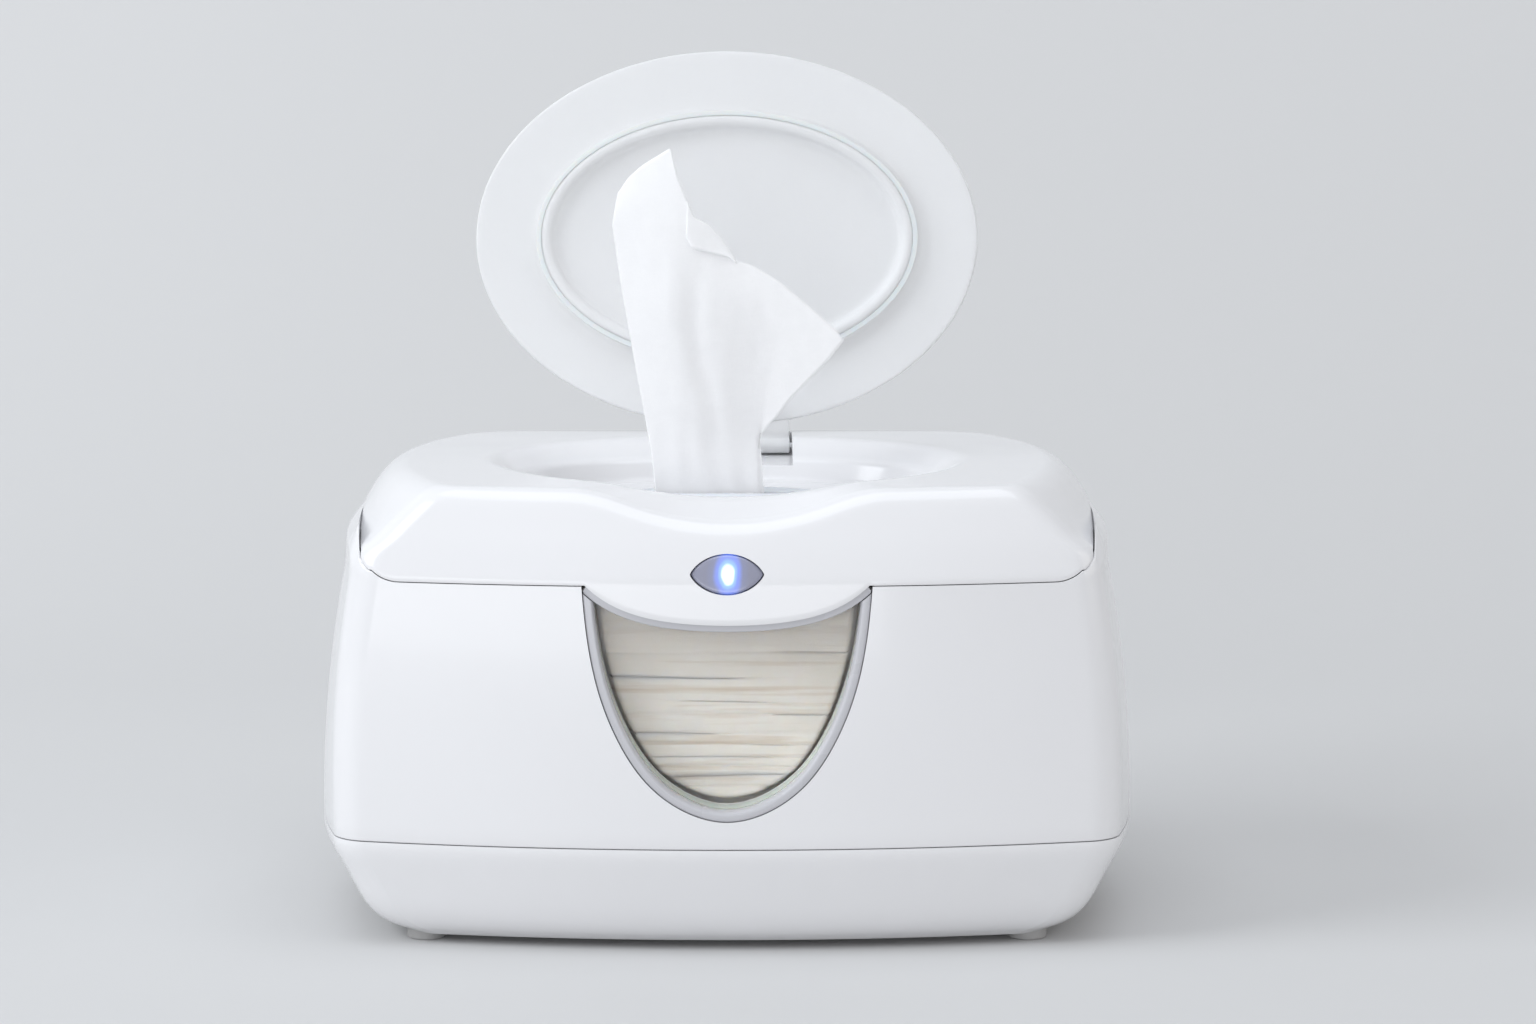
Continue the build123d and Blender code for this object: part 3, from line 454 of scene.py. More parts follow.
for position, colour in ((0.22, (0.62, 0.82, 1.0, 1)), (0.33, (0.08, 0.26, 1.0, 1)),
                         (0.47, (0.012, 0.07, 0.45, 1)), (0.7, (0.002, 0.01, 0.05, 1))):
    ramp.elements.new(position).color = colour
set_inputs(tree, shader, {"Emission Color": glow.outputs[0], "Emission Strength": 1.3, "Coat Weight": 0.6})

tree, shader, skin = moulded("led_blue", (0.10, 0.21, 0.85), 0.15, 0.1, 0.05, 0.2, 0.1)
set_inputs(tree, shader, {"Emission Color": skin["Colour"], "Emission Strength": 2.0})

# %% [markdown]
# ## Inside the cover
# The heater is an amber film with a dark meander printed in it, and the board is green with paler
# tracks and tinned pads. Both patterns are made of bands and bricks, at their real sizes.

# %% Heater film
tree, shader, skin = moulded("film_amber", (0.52, 0.19, 0.02), 0.3, 0.15, 0.1, 0.6, 0.2)
track = wire(tree, "TexWave", {"Vector": own_place(tree), "Scale": 26.0, "Distortion": 0.6, "Detail": 1.0,
                               "Detail Scale": 8.0}, wave_type="BANDS", bands_direction="X").outputs["Fac"]
printed = span(tree, track, 0.42, 0.5, 0.0, 0.8)
set_inputs(tree, shader, {"Base Color": blend(tree, printed, skin["Colour"], (0.16, 0.07, 0.025, 1))})
bump(tree, shader, printed, 0.05)

# %% Circuit board
tree, shader, skin = moulded("board_green", (0.012, 0.12, 0.045), 0.35, 0.2, 0.1, 0.3, 0.3)
face_on = wire(tree, "Mapping", {"Vector": own_place(tree), "Rotation": (radians(90), 0, 0)}).outputs[0]
lanes = wire(tree, "TexBrick", {"Vector": face_on, "Scale": 90.0, "Mortar Size": 0.035, "Mortar Smooth": 0.2,
                                "Brick Width": 0.7, "Row Height": 0.22}).outputs["Fac"]
dots = wire(tree, "TexVoronoi", {"Vector": own_place(tree), "Scale": 380.0}).outputs["Distance"]
pads = span(tree, dots, 0.16, 0.2, 1.0, 0.0)
tracked = blend(tree, lanes, skin["Colour"], (0.05, 0.26, 0.10, 1))
set_inputs(tree, shader, {"Base Color": blend(tree, pads, tracked, (0.62, 0.62, 0.60, 1)), "Metallic": pads})
bump(tree, shader, lanes, 0.03)
print("all finishes:", sorted(finish))

# %% [markdown]
# ## Dressing the ready-made solids
# Every solid gets the finish of its slot, also the ones that a finer piece will replace, so that
# nothing bare shows when the lids are opened.

# %% Solids
SOLID_FINISH = {
    "white_gloss": ("base_tray", "housing", "cover_shell"), "grey_gloss": ("window_bezel",),
    "inner_white": ("tub",),
    "grey_rubber": ("feet", "cover_gasket"), "seal_white": ("lid_seal",), "seal_cream": ("window_seal",),
    "liner_grey": ("cover_liner",),
    "steel": ("base_screws", "cover_hinge_pins", "liner_screws", "lid_hinge_pin"),
    "lid_frosted": ("flip_lid",),
    "window_clear": ("window_pane",), "wipe_cloth": ("wipe_tip",), "stack_cloth": ("wipe_stack",),
    "heater_aluminium": ("heater_plate",), "film_amber": ("heater_film",), "pad_grey": ("insulation_pad",),
    "part_black": ("thermostat", "tact_switch", "dc_jack"), "board_green": ("control_board",),
    "led_blue": ("status_led",), "pin_brass": ("dc_jack_pin",), "lead_black": ("power_leads",),
    "lead_red": ("heater_leads",), "orifice_white": ("wipe_orifice",), "button_lens": ("light_button",)}
for key, names in SOLID_FINISH.items():
    for name in names:
        nodes[name].data.materials.clear()
        nodes[name].data.materials.append(finish[key])
print("solids dressed:", sum(len(names) for names in SOLID_FINISH.values()), "of", len(nodes))


# %% [markdown]
# ## Mesh helpers
# Most shells here are rings of points, one ring after another, joined by quads.
# Rings follow the shape's own lines, so edges are round and highlights run clean along them.
# A subdivided cage is quicker to draw, but it pulls away from its points, and sizes matter here.

# %% Meshes from rings
def add_object(name, mesh, body, slot, *replaced, look=None):
    """Puts a mesh in the scene, on its body, with the finish of its slot unless look names another."""
    piece = bpy.data.objects.new(name, mesh)
    bpy.context.scene.collection.objects.link(piece)
    mesh.materials.append(finish[look or slot])
    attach(piece, body)
    if replaced:
        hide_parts(*replaced)
    return piece


def ring_mesh(name, rings, loop=False, caps=False):
    """Quads between rings of equal length, in millimetres. loop joins the last ring to the first."""
    count = len(rings[0])
    verts = np.vstack(rings) * MM
    faces = []
    for k in range(len(rings) if loop else len(rings) - 1):
        low, high = k * count, (k + 1) % len(rings) * count
        for j in range(count):
            i = (j + 1) % count
            faces.append((low + j, low + i, high + i, high + j))
    if caps:
        faces.append(tuple(range(count))[::-1])
        faces.append(tuple((len(rings) - 1) * count + j for j in range(count)))
    mesh = bpy.data.meshes.new(name)
    mesh.from_pydata(verts.tolist(), [], faces)
    outward(mesh)
    return mesh


@contextmanager
def editing(mesh):
    """The mesh opened for edits, and written back afterwards."""
    work = bmesh.new()
    work.from_mesh(mesh)
    yield work
    work.to_mesh(mesh)
    work.free()


def outward(mesh, merge=0.0, short=0.0):
    """All faces turned outwards and shaded smooth. merge and short, in millimetres, clear doubled points."""
    with editing(mesh) as work:
        if merge:
            bmesh.ops.remove_doubles(work, verts=work.verts, dist=merge * MM)
        if short:
            bmesh.ops.dissolve_degenerate(work, edges=work.edges, dist=short * MM)
        bmesh.ops.recalc_face_normals(work, faces=work.faces)
    mesh.shade_smooth()


def crisp(mesh, angle=32):
    """Smooth shading that breaks at edges sharper than angle."""
    mesh.shade_smooth()
    mesh.set_sharp_from_angle(angle=radians(angle))


def bevelled(mesh, width, steps=3, angle=30):
    """Rounds every edge sharper than angle, width in millimetres."""
    with editing(mesh) as work:
        edges = [e for e in work.edges if len(e.link_faces) == 2 and e.calc_face_angle() > radians(angle)]
        bmesh.ops.bevel(work, geom=edges, offset=width * MM, segments=steps, profile=0.5,
                        affect="EDGES", clamp_overlap=True)
    return mesh


def prism_mesh(name, flat, direction, start, end):
    """A flat shape pushed along an axis: flat holds the two other coordinates in axis order."""
    flat, axis = np.array(flat, float), "xyz".index(direction)
    rings = [np.insert(flat, axis, place, axis=1) for place in (start, end)]
    return ring_mesh(name, rings, caps=True)


def bake(piece):
    """Turns a piece and its modifiers into one plain mesh."""
    baked = bpy.data.meshes.new_from_object(piece.evaluated_get(bpy.context.evaluated_depsgraph_get()))
    piece.modifiers.clear()
    piece.data = baked


def cut(piece, *cutters, solver="EXACT"):
    """Takes the cutters out of a piece, and throws them away."""
    for mesh in cutters:
        tool = bpy.data.objects.new("cutter", mesh)
        bpy.context.scene.collection.objects.link(tool)
        step = piece.modifiers.new("cut", "BOOLEAN")
        step.operation, step.solver, step.object = "DIFFERENCE", solver, tool
        bpy.context.view_layer.update()
        bake(piece)
        bpy.data.objects.remove(tool)


# %% [markdown]
# ## The bowed outline
# Seen from above, every moulding has the same family of outlines: four sides that bow outwards,
# joined by round corners. Each side is an arc of a large circle, and each corner an arc tangent
# to its two neighbours. The columns of points keep their places from outline to outline, so two
# outlines at different heights join into a smooth wall.

# %% Outline
TAB_X = 44.4                    # half width of the cover's front tab
SPANS = (66, 40, 16, 56, 16, 52)  # columns: tab, front, corner, side, corner, rear
COLUMNS = 2 * sum(SPANS)
FRONT_R, SIDE_R, REAR_R = 483.0, 296.0, 1400.0


def meet(c0, r0, c1, r1):
    """The crossing of two circles that lies furthest out in X."""
    c0, c1 = np.array(c0), np.array(c1)
    reach = c1 - c0
    d = hypot(*reach)
    along = (r0 * r0 - r1 * r1 + d * d) / (2 * d)
    off = sqrt(r0 * r0 - along * along)
    unit = reach / d
    spots = [c0 + along * unit + s * off * np.array((-unit[1], unit[0])) for s in (-1, 1)]
    return max(spots, key=lambda p: p[0])


def outline(half_width, front, rear, corner, side_r, front_r, rear_corner=None, inset=0.0):
    """Plan points, anticlockwise from the middle of the front."""
    half_width, front, rear, side_r, front_r = (v - inset for v in (half_width, front, rear, side_r, front_r))
    rear_r, rear_corner, corner = REAR_R - inset, (rear_corner or corner) - inset, corner - inset
    side_c, front_c, rear_c = (half_width - side_r, 0), (0, front_r - front), (0, rear - rear_r)
    p = meet(front_c, front_r - corner, side_c, side_r - corner)
    q = meet(rear_c, rear_r - rear_corner, side_c, side_r - rear_corner)
    aim = [atan2(a[1] - b[1], a[0] - b[0]) for a, b in ((p, front_c), (p, side_c), (q, side_c), (q, rear_c))]
    tab = asin(TAB_X / front_r) - pi / 2
    arcs = [(front_c, front_r, -pi / 2, tab), (front_c, front_r, tab, aim[0]), (p, corner, aim[0], aim[1]),
            (side_c, side_r, aim[1], aim[2]), (q, rear_corner, aim[2], aim[3]),
            (rear_c, rear_r, aim[3], pi / 2)]
    right = []
    for (centre, r, start, end), n in zip(arcs, SPANS):
        turn = np.linspace(start, end, n, endpoint=False)
        right.append(np.column_stack([centre[0] + r * np.cos(turn), centre[1] + r * np.sin(turn)]))
    right = np.vstack([*right, [(0.0, rear)]])
    return np.vstack([right, right[-2:0:-1] * (-1, 1)])


def level(plan, z):
    """Plan points set at a height, or each at its own."""
    return np.column_stack([plan[:, :2], np.broadcast_to(z, len(plan))])


# %% [markdown]
# ## Walls of the box
# The housing leans in a little towards the top, and the cover goes on from it and leans in more.
# A wall is stored as outlines at many heights, and any column can then be asked for its place
# at any height.

# %% Wall profiles
TRAY_SEAM, COVER_SEAM = 34.5, 117.0
WALL_RISE = COVER_SEAM - TRAY_SEAM
DEEP, FRONT_LEAN, REAR_LEAN = 91.6, 3.6, 4.6    # half depth at the tray's seam, and what it loses higher up
COVER_ROWS = np.array([          # height, half width, front, rear, corner, side radius, front radius
    (117.0, 124.2, 88.0, 87.0, 14.0, 430.0, 483.0),
    (123.0, 123.9, 86.3, 86.5, 13.0, 380.0, 500.0),
    (128.5, 123.4, 84.3, 85.8, 12.5, 216.0, 520.0),
    (134.5, 118.4, 81.7, 84.7, 12.0, 188.0, 550.0),
    (140.0, 114.9, 79.2, 83.2, 12.0, 157.0, 580.0),
    (145.0, 110.8, 76.7, 81.0, 12.0, 143.0, 610.0),
    (150.0, 106.5, 74.2, 78.4, 12.0, 136.0, 640.0)])


def smooth_rows(rows, z):
    """A row between the given ones, on a smooth curve through them."""
    levels = rows[:, 0]
    k = int(np.clip(np.searchsorted(levels, z) - 1, 0, len(levels) - 2))
    slope = np.gradient(rows, levels, axis=0)
    slope[0, 2] = -2 * FRONT_LEAN / WALL_RISE       # the front leaves the seam as the housing reaches it
    h = levels[k + 1] - levels[k]
    t = (z - levels[k]) / h
    return ((2 * t ** 3 - 3 * t ** 2 + 1) * rows[k] + (t ** 3 - 2 * t ** 2 + t) * h * slope[k]
            + (3 * t ** 2 - 2 * t ** 3) * rows[k + 1] + (t ** 3 - t ** 2) * h * slope[k + 1])


def body_plan(z, inset=0.0):
    """Outline of the housing at height z, which the cover's tab follows too."""
    rise = z - TRAY_SEAM
    share = rise / WALL_RISE
    half_width = 132.5 - min(rise, WALL_RISE) ** 2 / 820 - max(rise - WALL_RISE, 0) * 0.05
    return outline(half_width, DEEP - FRONT_LEAN * share ** 2, DEEP - REAR_LEAN * share ** 2, 14.0,
                   SIDE_R + 134 * min(share, 1), FRONT_R, inset=inset)


def cover_plan(z, inset=0.0):
    if z <= COVER_SEAM:
        return body_plan(z, inset)
    row = smooth_rows(COVER_ROWS, z)
    return outline(*row[1:], rear_corner=row[4] + (z - COVER_SEAM) * 0.45, inset=inset)


class Wall:
    """Outlines at close heights, so that each column can have a height of its own."""

    def __init__(self, plan, low, high, inset=0.0, step=0.75):
        self.levels = np.arange(low, high + step, step)
        self.points = np.array([plan(z, inset) for z in self.levels])

    def at(self, z):
        """Plan points of all columns, column j at height z[j]."""
        z = np.broadcast_to(z, COLUMNS)
        place = np.clip((z - self.levels[0]) / (self.levels[1] - self.levels[0]), 0, len(self.levels) - 1.001)
        k = place.astype(int)
        t = (place - k)[:, None]
        j = np.arange(COLUMNS)
        return self.points[k, j] * (1 - t) + self.points[k + 1, j] * t

    def ring(self, z):
        return level(self.at(z), z)


cover_wall = Wall(cover_plan, 104.0, 150.0)
cover_inner = Wall(cover_plan, 104.0, 140.0, 2.5)
house_wall = Wall(body_plan, 34.0, 134.0)
house_inner = Wall(body_plan, 34.0, 120.0, 2.5)
print("columns in each outline:", COLUMNS)


# %% [markdown]
# ## The top of the cover
# The top is one height function of X and Y: a slight crown, a thumb scoop rolled out of the front
# edge, and a dish that falls towards the well. A soft minimum blends each pair with a small radius,
# as the polished steel of the mould does.

# %% Height of the top
def soft_min(a, b, radius):
    h = np.clip(0.5 + 0.5 * (b - a) / radius, 0, 1)
    return b * (1 - h) + a * h - radius * h * (1 - h)


def ellipse_ring(half, middle, z):
    """One point per column on an ellipse, in the same direction as the outline's point."""
    plan = cover_plan(140.0)
    turn = np.arctan2((plan[:, 1] - middle) / half[1], plan[:, 0] / half[0])
    return level(np.column_stack([half[0] * np.cos(turn), middle + half[1] * np.sin(turn)]), z)


def crown(x, y):
    return 147.6 - (y - 20.0) ** 2 / 4800.0


def scoop(x, y, r=110.0, tilt=radians(12.5)):
    """A tilted cylinder, whose lowest line meets the front at 136."""
    side = np.sqrt(np.maximum(r ** 2 - x ** 2, 400.0))
    return 136.0 + (y + 80.0) * tan(tilt) + (r - side) / cos(tilt)


RIM_HALF, RIM_Y, LIP_HALF, LIP_Y, LIP_Z = (78.0, 64.0), -6.0, (68.0, 45.5), -8.0, 142.0


def dish(x, y):
    """Slope between the dish's rim and the well's lip, found by halving."""
    low, high = np.zeros_like(x), np.full_like(x, 2.5)
    for _ in range(24):
        t = (low + high) / 2
        a = LIP_HALF[0] + (RIM_HALF[0] - LIP_HALF[0]) * t
        b = LIP_HALF[1] + (RIM_HALF[1] - LIP_HALF[1]) * t
        inside = (x / a) ** 2 + ((y - LIP_Y - (RIM_Y - LIP_Y) * t) / b) ** 2 < 1
        high = np.where(inside, t, high)
        low = np.where(inside, low, t)
    return LIP_Z + 6.2 * (low + high) / 2


def top_height(x, y):
    return soft_min(soft_min(crown(x, y), dish(x, y), 1.6), scoop(x, y), 4.0)


# %% [markdown]
# ## Lower edge of the cover
# In front view the cover's lower edge is straight, turns up round a 10 mm corner beside the
# shoulders, and hangs down in the middle as a smile-shaped tab over the window. It could be cut
# with a boolean. It is worked out instead, so that cover and housing keep one even gap.

# %% Lower edge and sides
SEAM_R, SEAM_GAP = 12.0, 0.26
smile = np.linalg.solve([[x ** 2, x ** 4, x ** 6] for x in (16.0, 31.0, TAB_X)], [0.8, 4.0, 12.2])


def smile_height(x):
    return 105.0 + smile[0] * x ** 2 + smile[1] * x ** 4 + smile[2] * x ** 6


def seam_half(y):
    """Half width between the two side seams, which bow a little like the walls."""
    return 118.4 - y ** 2 / 1772.0


def seam_height(x, y, out=0.0):
    """Height of the seam at a point of the plan: flat in front, turned up round a corner at the sides."""
    over = np.clip(np.abs(x) - (seam_half(y) + out - SEAM_R), 0, SEAM_R)
    return COVER_SEAM - out + SEAM_R - np.sqrt(SEAM_R ** 2 - over ** 2)


def inside_seam(points, out=-SEAM_GAP / 2, round_off=0.5):
    """Sides held in to the seam's surface."""
    x = np.sign(points[:, 0]) * soft_min(np.abs(points[:, 0]), seam_half(points[:, 1]) + out, round_off)
    return np.column_stack([x, points[:, 1:]])


def seam_edge(out):
    """Height at which each column of the wall meets the seam, found by halving."""
    low, high = np.full(COLUMNS, COVER_SEAM - 1.0), np.full(COLUMNS, COVER_SEAM + SEAM_R + 1.0)
    for _ in range(20):
        z = (low + high) / 2
        at = cover_wall.at(z)
        below = z < seam_height(at[:, 0], at[:, 1], out)
        low, high = np.where(below, z, low), np.where(below, high, z)
    return (low + high) / 2


SHOULDER_EDGE, SHOULDER_TOP = 126.5, 133.0


def shoulder_limit(y):
    """No point of the housing is higher: full height beside the cover, low round its corners."""
    return np.clip(120.2 + (73.3 - np.abs(y)) * 1.055, 120.2, SHOULDER_TOP)


low_edge = seam_edge(-SEAM_GAP / 2)
low_edge = np.minimum(low_edge, shoulder_limit(cover_wall.at(low_edge)[:, 1]) + SEAM_GAP)
tab = (np.abs(cover_wall.at(111.0)[:, 0]) < TAB_X + 0.05) & (cover_wall.at(111.0)[:, 1] < 0)
low_edge[tab] = smile_height(cover_wall.at(111.0)[tab, 0])

# %% Cover rings
EDGE = 4.6                      # how far the rounding of the top edge reaches along wall and top


def weighted_arc(a, control, b, steps, weight=0.82):
    """Points of a round blend from a to b about a sharp corner, ends left out."""
    rows = []
    for s in np.linspace(0, 1, steps + 2)[1:-1]:
        shares = np.array([(1 - s) ** 2, 2 * weight * s * (1 - s), s * s])
        rows.append((shares[0] * a + shares[1] * control + shares[2] * b) / shares.sum())
    return rows


def cover_rings():
    rim, lip = ellipse_ring(RIM_HALF, RIM_Y, 0), ellipse_ring(LIP_HALF, LIP_Y, 0)
    throat = ellipse_ring((31.0, 13.0), -5.0, 0)
    inward = lambda ring, d: ring + (throat - ring) * (d / np.linalg.norm(throat - ring, axis=1))[:, None]
    lip_z = top_height(lip[:, 0], lip[:, 1])
    rings = [level(throat, 133.5), level(throat, 135.0)]
    rings += [level(throat + (lip - throat) * s, 135.0) for s in (0.2, 0.4, 0.6, 0.78)]
    rings += [level(inward(lip, d), z) for d, z in ((5.4, 135.0), (4.4, 135.25), (3.6, 135.9), (2.9, 137.0))]
    rings += [level(inward(lip, d), lip_z - drop) for d, drop in ((0.75, 1.3), (0.3, 0.6), (-0.3, 0.15))]
    on_top = lambda p: level(p, top_height(p[:, 0], p[:, 1]))
    rings += [on_top(lip + (rim - lip) * s) for s in (0.09, 0.2, 0.35, 0.5, 0.65, 0.8, 0.9, 0.96, 1.0)]
    sharp_z = np.full(COLUMNS, 145.0)
    for _ in range(12):
        at = cover_wall.at(sharp_z)
        sharp_z = 0.5 * sharp_z + 0.5 * soft_min(crown(at[:, 0], at[:, 1]), scoop(at[:, 0], at[:, 1]), 4.0)
    sharp = cover_wall.ring(sharp_z)
    run = (rim - sharp) * (1, 1, 0)
    length = np.linalg.norm(run, axis=1)
    turn_in = on_top(sharp + run * (EDGE / length)[:, None])
    rings += [on_top(rim + (turn_in - rim) * s)
              for s in (0.03, 0.08, 0.16, 0.28, 0.42, 0.56, 0.7, 0.82, 0.92, 1)]
    turn_out = cover_wall.ring(sharp_z - EDGE)
    rings += weighted_arc(turn_in, sharp, turn_out, 7)
    rings += [inside_seam(cover_wall.ring(turn_out[:, 2] + (low_edge + 0.5 - turn_out[:, 2]) * s))
              for s in np.linspace(0, 1, 18)[:-1]]
    rings.append(inside_seam(cover_wall.ring(low_edge + 0.5)))
    foot = inside_seam(cover_wall.ring(low_edge))
    skirt = lambda z: inside_seam(cover_inner.ring(z), -2.7)
    inner = skirt(low_edge)
    rim_z = np.minimum(seam_height(inner[:, 0], inner[:, 1], -SEAM_GAP / 2),
                       shoulder_limit(inner[:, 1]) + SEAM_GAP)
    inner[:, 2] = np.where(tab, low_edge, np.maximum(low_edge, rim_z))      # clear of the housing's rim
    rings += [*(foot + (inner - foot) * s for s in (0.06, 0.2, 0.85)), inner]
    rings += [skirt(low_edge + (130.5 - low_edge) * s) for s in (0.3, 0.65, 1)]
    ceiling = skirt(130.5)
    rings.append(level(ceiling + (throat - ceiling) * 0.12, 131.0))
    return rings


# %% [markdown]
# The button's hole, the hinge channel, the inlet's hole and two pockets for the hinges are cut
# out of the finished shell, which is simpler than leading all rings round them. The button's
# cutter flares a little at the surface, and that leaves a fine chamfer round its hole.

# %% Cutters for the cover
BUTTON_HALF, BUTTON_Z = (11.2, 5.95), 120.75
COVER_AXIS, HINGE_X, KNUCKLE = (89.0, 117.6), 60.0, 2.6     # (y, z) of the hinge, its two places, its radius


def lens_outline(grow=0.0, steps=40):
    """Oval with softly pointed tips, in front view: two arcs, rounded off by an ellipse."""
    w, h = BUTTON_HALF[0] + grow, BUTTON_HALF[1] + 0.9 * grow
    x = w * np.sin(np.linspace(-pi / 2, pi / 2, steps + 1))
    r = (w * w + h * h) / (2 * h)
    arcs = np.sqrt(r * r - x * x) - (r - h)
    z = 0.7 * arcs + 0.3 * h * np.sqrt(np.clip(1 - (x / w) ** 2, 0, 1))
    points = [(a, b) for a, b in zip(x, z)] + [(a, -b) for a, b in zip(x[-2:0:-1], z[-2:0:-1])]
    return np.array(points) + (0, BUTTON_Z)


def lens_cutter():
    rings = []
    for y, grow in ((-94.0, 6.5), (-88.0, 0.98), (-87.35, 0.42), (-86.9, 0.35), (-78.0, 0.35)):
        flat = lens_outline(grow)
        lean = (flat[:, 1] - BUTTON_Z) * 0.27      # the wall leans back as it rises
        rings.append(np.column_stack([flat[:, 0], y + lean, flat[:, 1]]))
    return ring_mesh("lens_cutter", rings, caps=True)


def rounded_block(x, y, z, r, steps=6):
    """Upright block with round vertical corners, from pairs of limits."""
    corners = [(x[1] - r, y[0] + r, -90), (x[1] - r, y[1] - r, 0), (x[0] + r, y[1] - r, 90),
               (x[0] + r, y[0] + r, 180)]
    plan = [(cx + r * cos(radians(a + t)), cy + r * sin(radians(a + t)))
            for cx, cy, a in corners for t in np.linspace(0, 90, steps)]
    return prism_mesh("block", plan, "z", *z)


def circle(middle, r, steps):
    turn = np.linspace(0, 2 * pi, steps, endpoint=False)
    return np.column_stack([middle[0] + r * np.cos(turn), middle[1] + r * np.sin(turn)])


def round_rod(x, z, r, y, steps=48):
    return prism_mesh("rod", circle((x, z), r, steps), "y", *y)


def round_bar(x, width, r, steps=40):
    """Rod along X on the cover's hinge axis."""
    return prism_mesh("bar", circle(COVER_AXIS, r, steps), "x", x - width / 2, x + width / 2)


# %% [markdown]
# The window is a U whose arms open a little towards the top. A few places on one arm are enough:
# they are mirrored, and one smooth curve is led through all of them. The hole, its rim and the
# lip above it all start from this curve, so they fit one another.

# %% The window's U
NOTCH = [(0, 43.3), (13.9, 47.0), (24.6, 55.0), (33.8, 68.4), (40.2, 84.6), (44.2, 106.0), (45.8, 126.0)]


def smooth_through(points, count):
    """A natural spline through the mirrored points, from the upper left round to the upper right."""
    half = np.array(points, float)
    run = np.vstack([half[:0:-1] * (-1, 1), half])
    t = np.r_[0, np.cumsum(np.linalg.norm(np.diff(run, axis=0), axis=1))]
    n = len(run)
    a, b = np.zeros((n, n)), np.zeros((n, 2))
    h = np.diff(t)
    a[0, 0] = a[-1, -1] = 1
    for i in range(1, n - 1):
        a[i, i - 1:i + 2] = h[i - 1], 2 * (h[i - 1] + h[i]), h[i]
        b[i] = 6 * ((run[i + 1] - run[i]) / h[i] - (run[i] - run[i - 1]) / h[i - 1])
    m = np.linalg.solve(a, b)
    at = np.linspace(0, t[-1], count)
    k = np.clip(np.searchsorted(t, at) - 1, 0, n - 2)
    u, v = (t[k + 1] - at)[:, None], (at - t[k])[:, None]
    hk = h[k][:, None]
    return ((m[k] * u ** 3 + m[k + 1] * v ** 3) / (6 * hk) + (run[k] / hk - m[k] * hk / 6) * u
            + (run[k + 1] / hk - m[k + 1] * hk / 6) * v)


def outward_of(path):
    """Unit vectors away from the window, along its path."""
    tangent = np.gradient(path, axis=0)
    tangent /= np.linalg.norm(tangent, axis=1)[:, None]
    return np.column_stack([tangent[:, 1], -tangent[:, 0]])


# %% [markdown]
# ## The cover
# All rings together make one closed shell with an inside, so it stays solid when it is opened.

# %% Cover
def hinge_pocket(side):
    corners = ((-8.1, 80.0), (8.1, 80.0), (8.1, 100.0), (-8.1, 100.0))
    return prism_mesh("pocket", [(side * HINGE_X + x, y) for x, y in corners], "z", 110.0, 121.0)


cover = add_object("cover_shell_soft", ring_mesh("cover_shell_soft", cover_rings(), caps=True), "cover",
                   "white_gloss", "cover_shell")
hinge_channel = rounded_block((-22.2, 22.2), (28.0, 70.9), (140.0, 160.0), 1.2)
inlet_hole = round_rod(0, 127.0, 4.2, (76.0, 96.0))
cut(cover, lens_cutter(), hinge_channel, inlet_hole, hinge_pocket(-1), hinge_pocket(1))
crisp(cover.data, 34)
print("cover:", len(cover.data.vertices), "points")


# %% [markdown]
# ## The housing
# The big white middle piece. Its top edge follows the cover's seam, and beside the cover it rises
# into two low shoulders. Along them and round the corners the edge is broken by a flat band that
# catches the light. Inside is a rim with a ledge, where the tub hangs.

# %% Housing
BAND_X = (100.0, 105.0, 110.4, 113.6, 115.9, 117.5)      # the band widens as it leaves the front
BAND_REACH = (12.4, 12.6, 13.2, 14.5, 15.2, 15.6)


def housing_edges():
    """Lower edge of the band, on the wall, and its upper edge, at the seam."""
    rise = seam_edge(SEAM_GAP / 2)
    wall = house_wall.at(np.minimum(rise, 126.0))
    x, y = np.abs(wall[:, 0]), wall[:, 1]
    beside = x > seam_half(y) + SEAM_GAP / 2
    upper_z = np.where(beside, shoulder_limit(y), np.minimum(rise, shoulder_limit(y)))
    middle = seam_half(y) + SEAM_GAP / 2 - SEAM_R
    reach = np.interp(x, BAND_X, BAND_REACH)
    drop = np.sqrt(np.maximum(reach ** 2 - np.clip(x - middle, 0, None) ** 2, 0))
    lower_z = np.minimum(SHOULDER_EDGE, COVER_SEAM + SEAM_R - SEAM_GAP / 2 - drop)
    lower_z = np.minimum(lower_z, upper_z - 0.5)
    upper = inside_seam(cover_wall.ring(np.minimum(upper_z, 128.0)), SEAM_GAP / 2, 0.05)
    side = np.column_stack([np.sign(wall[:, 0]) * (seam_half(y) + SEAM_GAP / 2), y])
    upper_xy = np.where(beside[:, None], side, upper[:, :2])
    return house_wall.ring(lower_z), level(upper_xy, upper_z)


def on_rim(plan):
    """Points on the rim's upper face, where the cover comes to rest."""
    rim = seam_height(plan[:, 0], plan[:, 1], SEAM_GAP / 2)
    return level(plan, np.minimum(rim, shoulder_limit(plan[:, 1])))


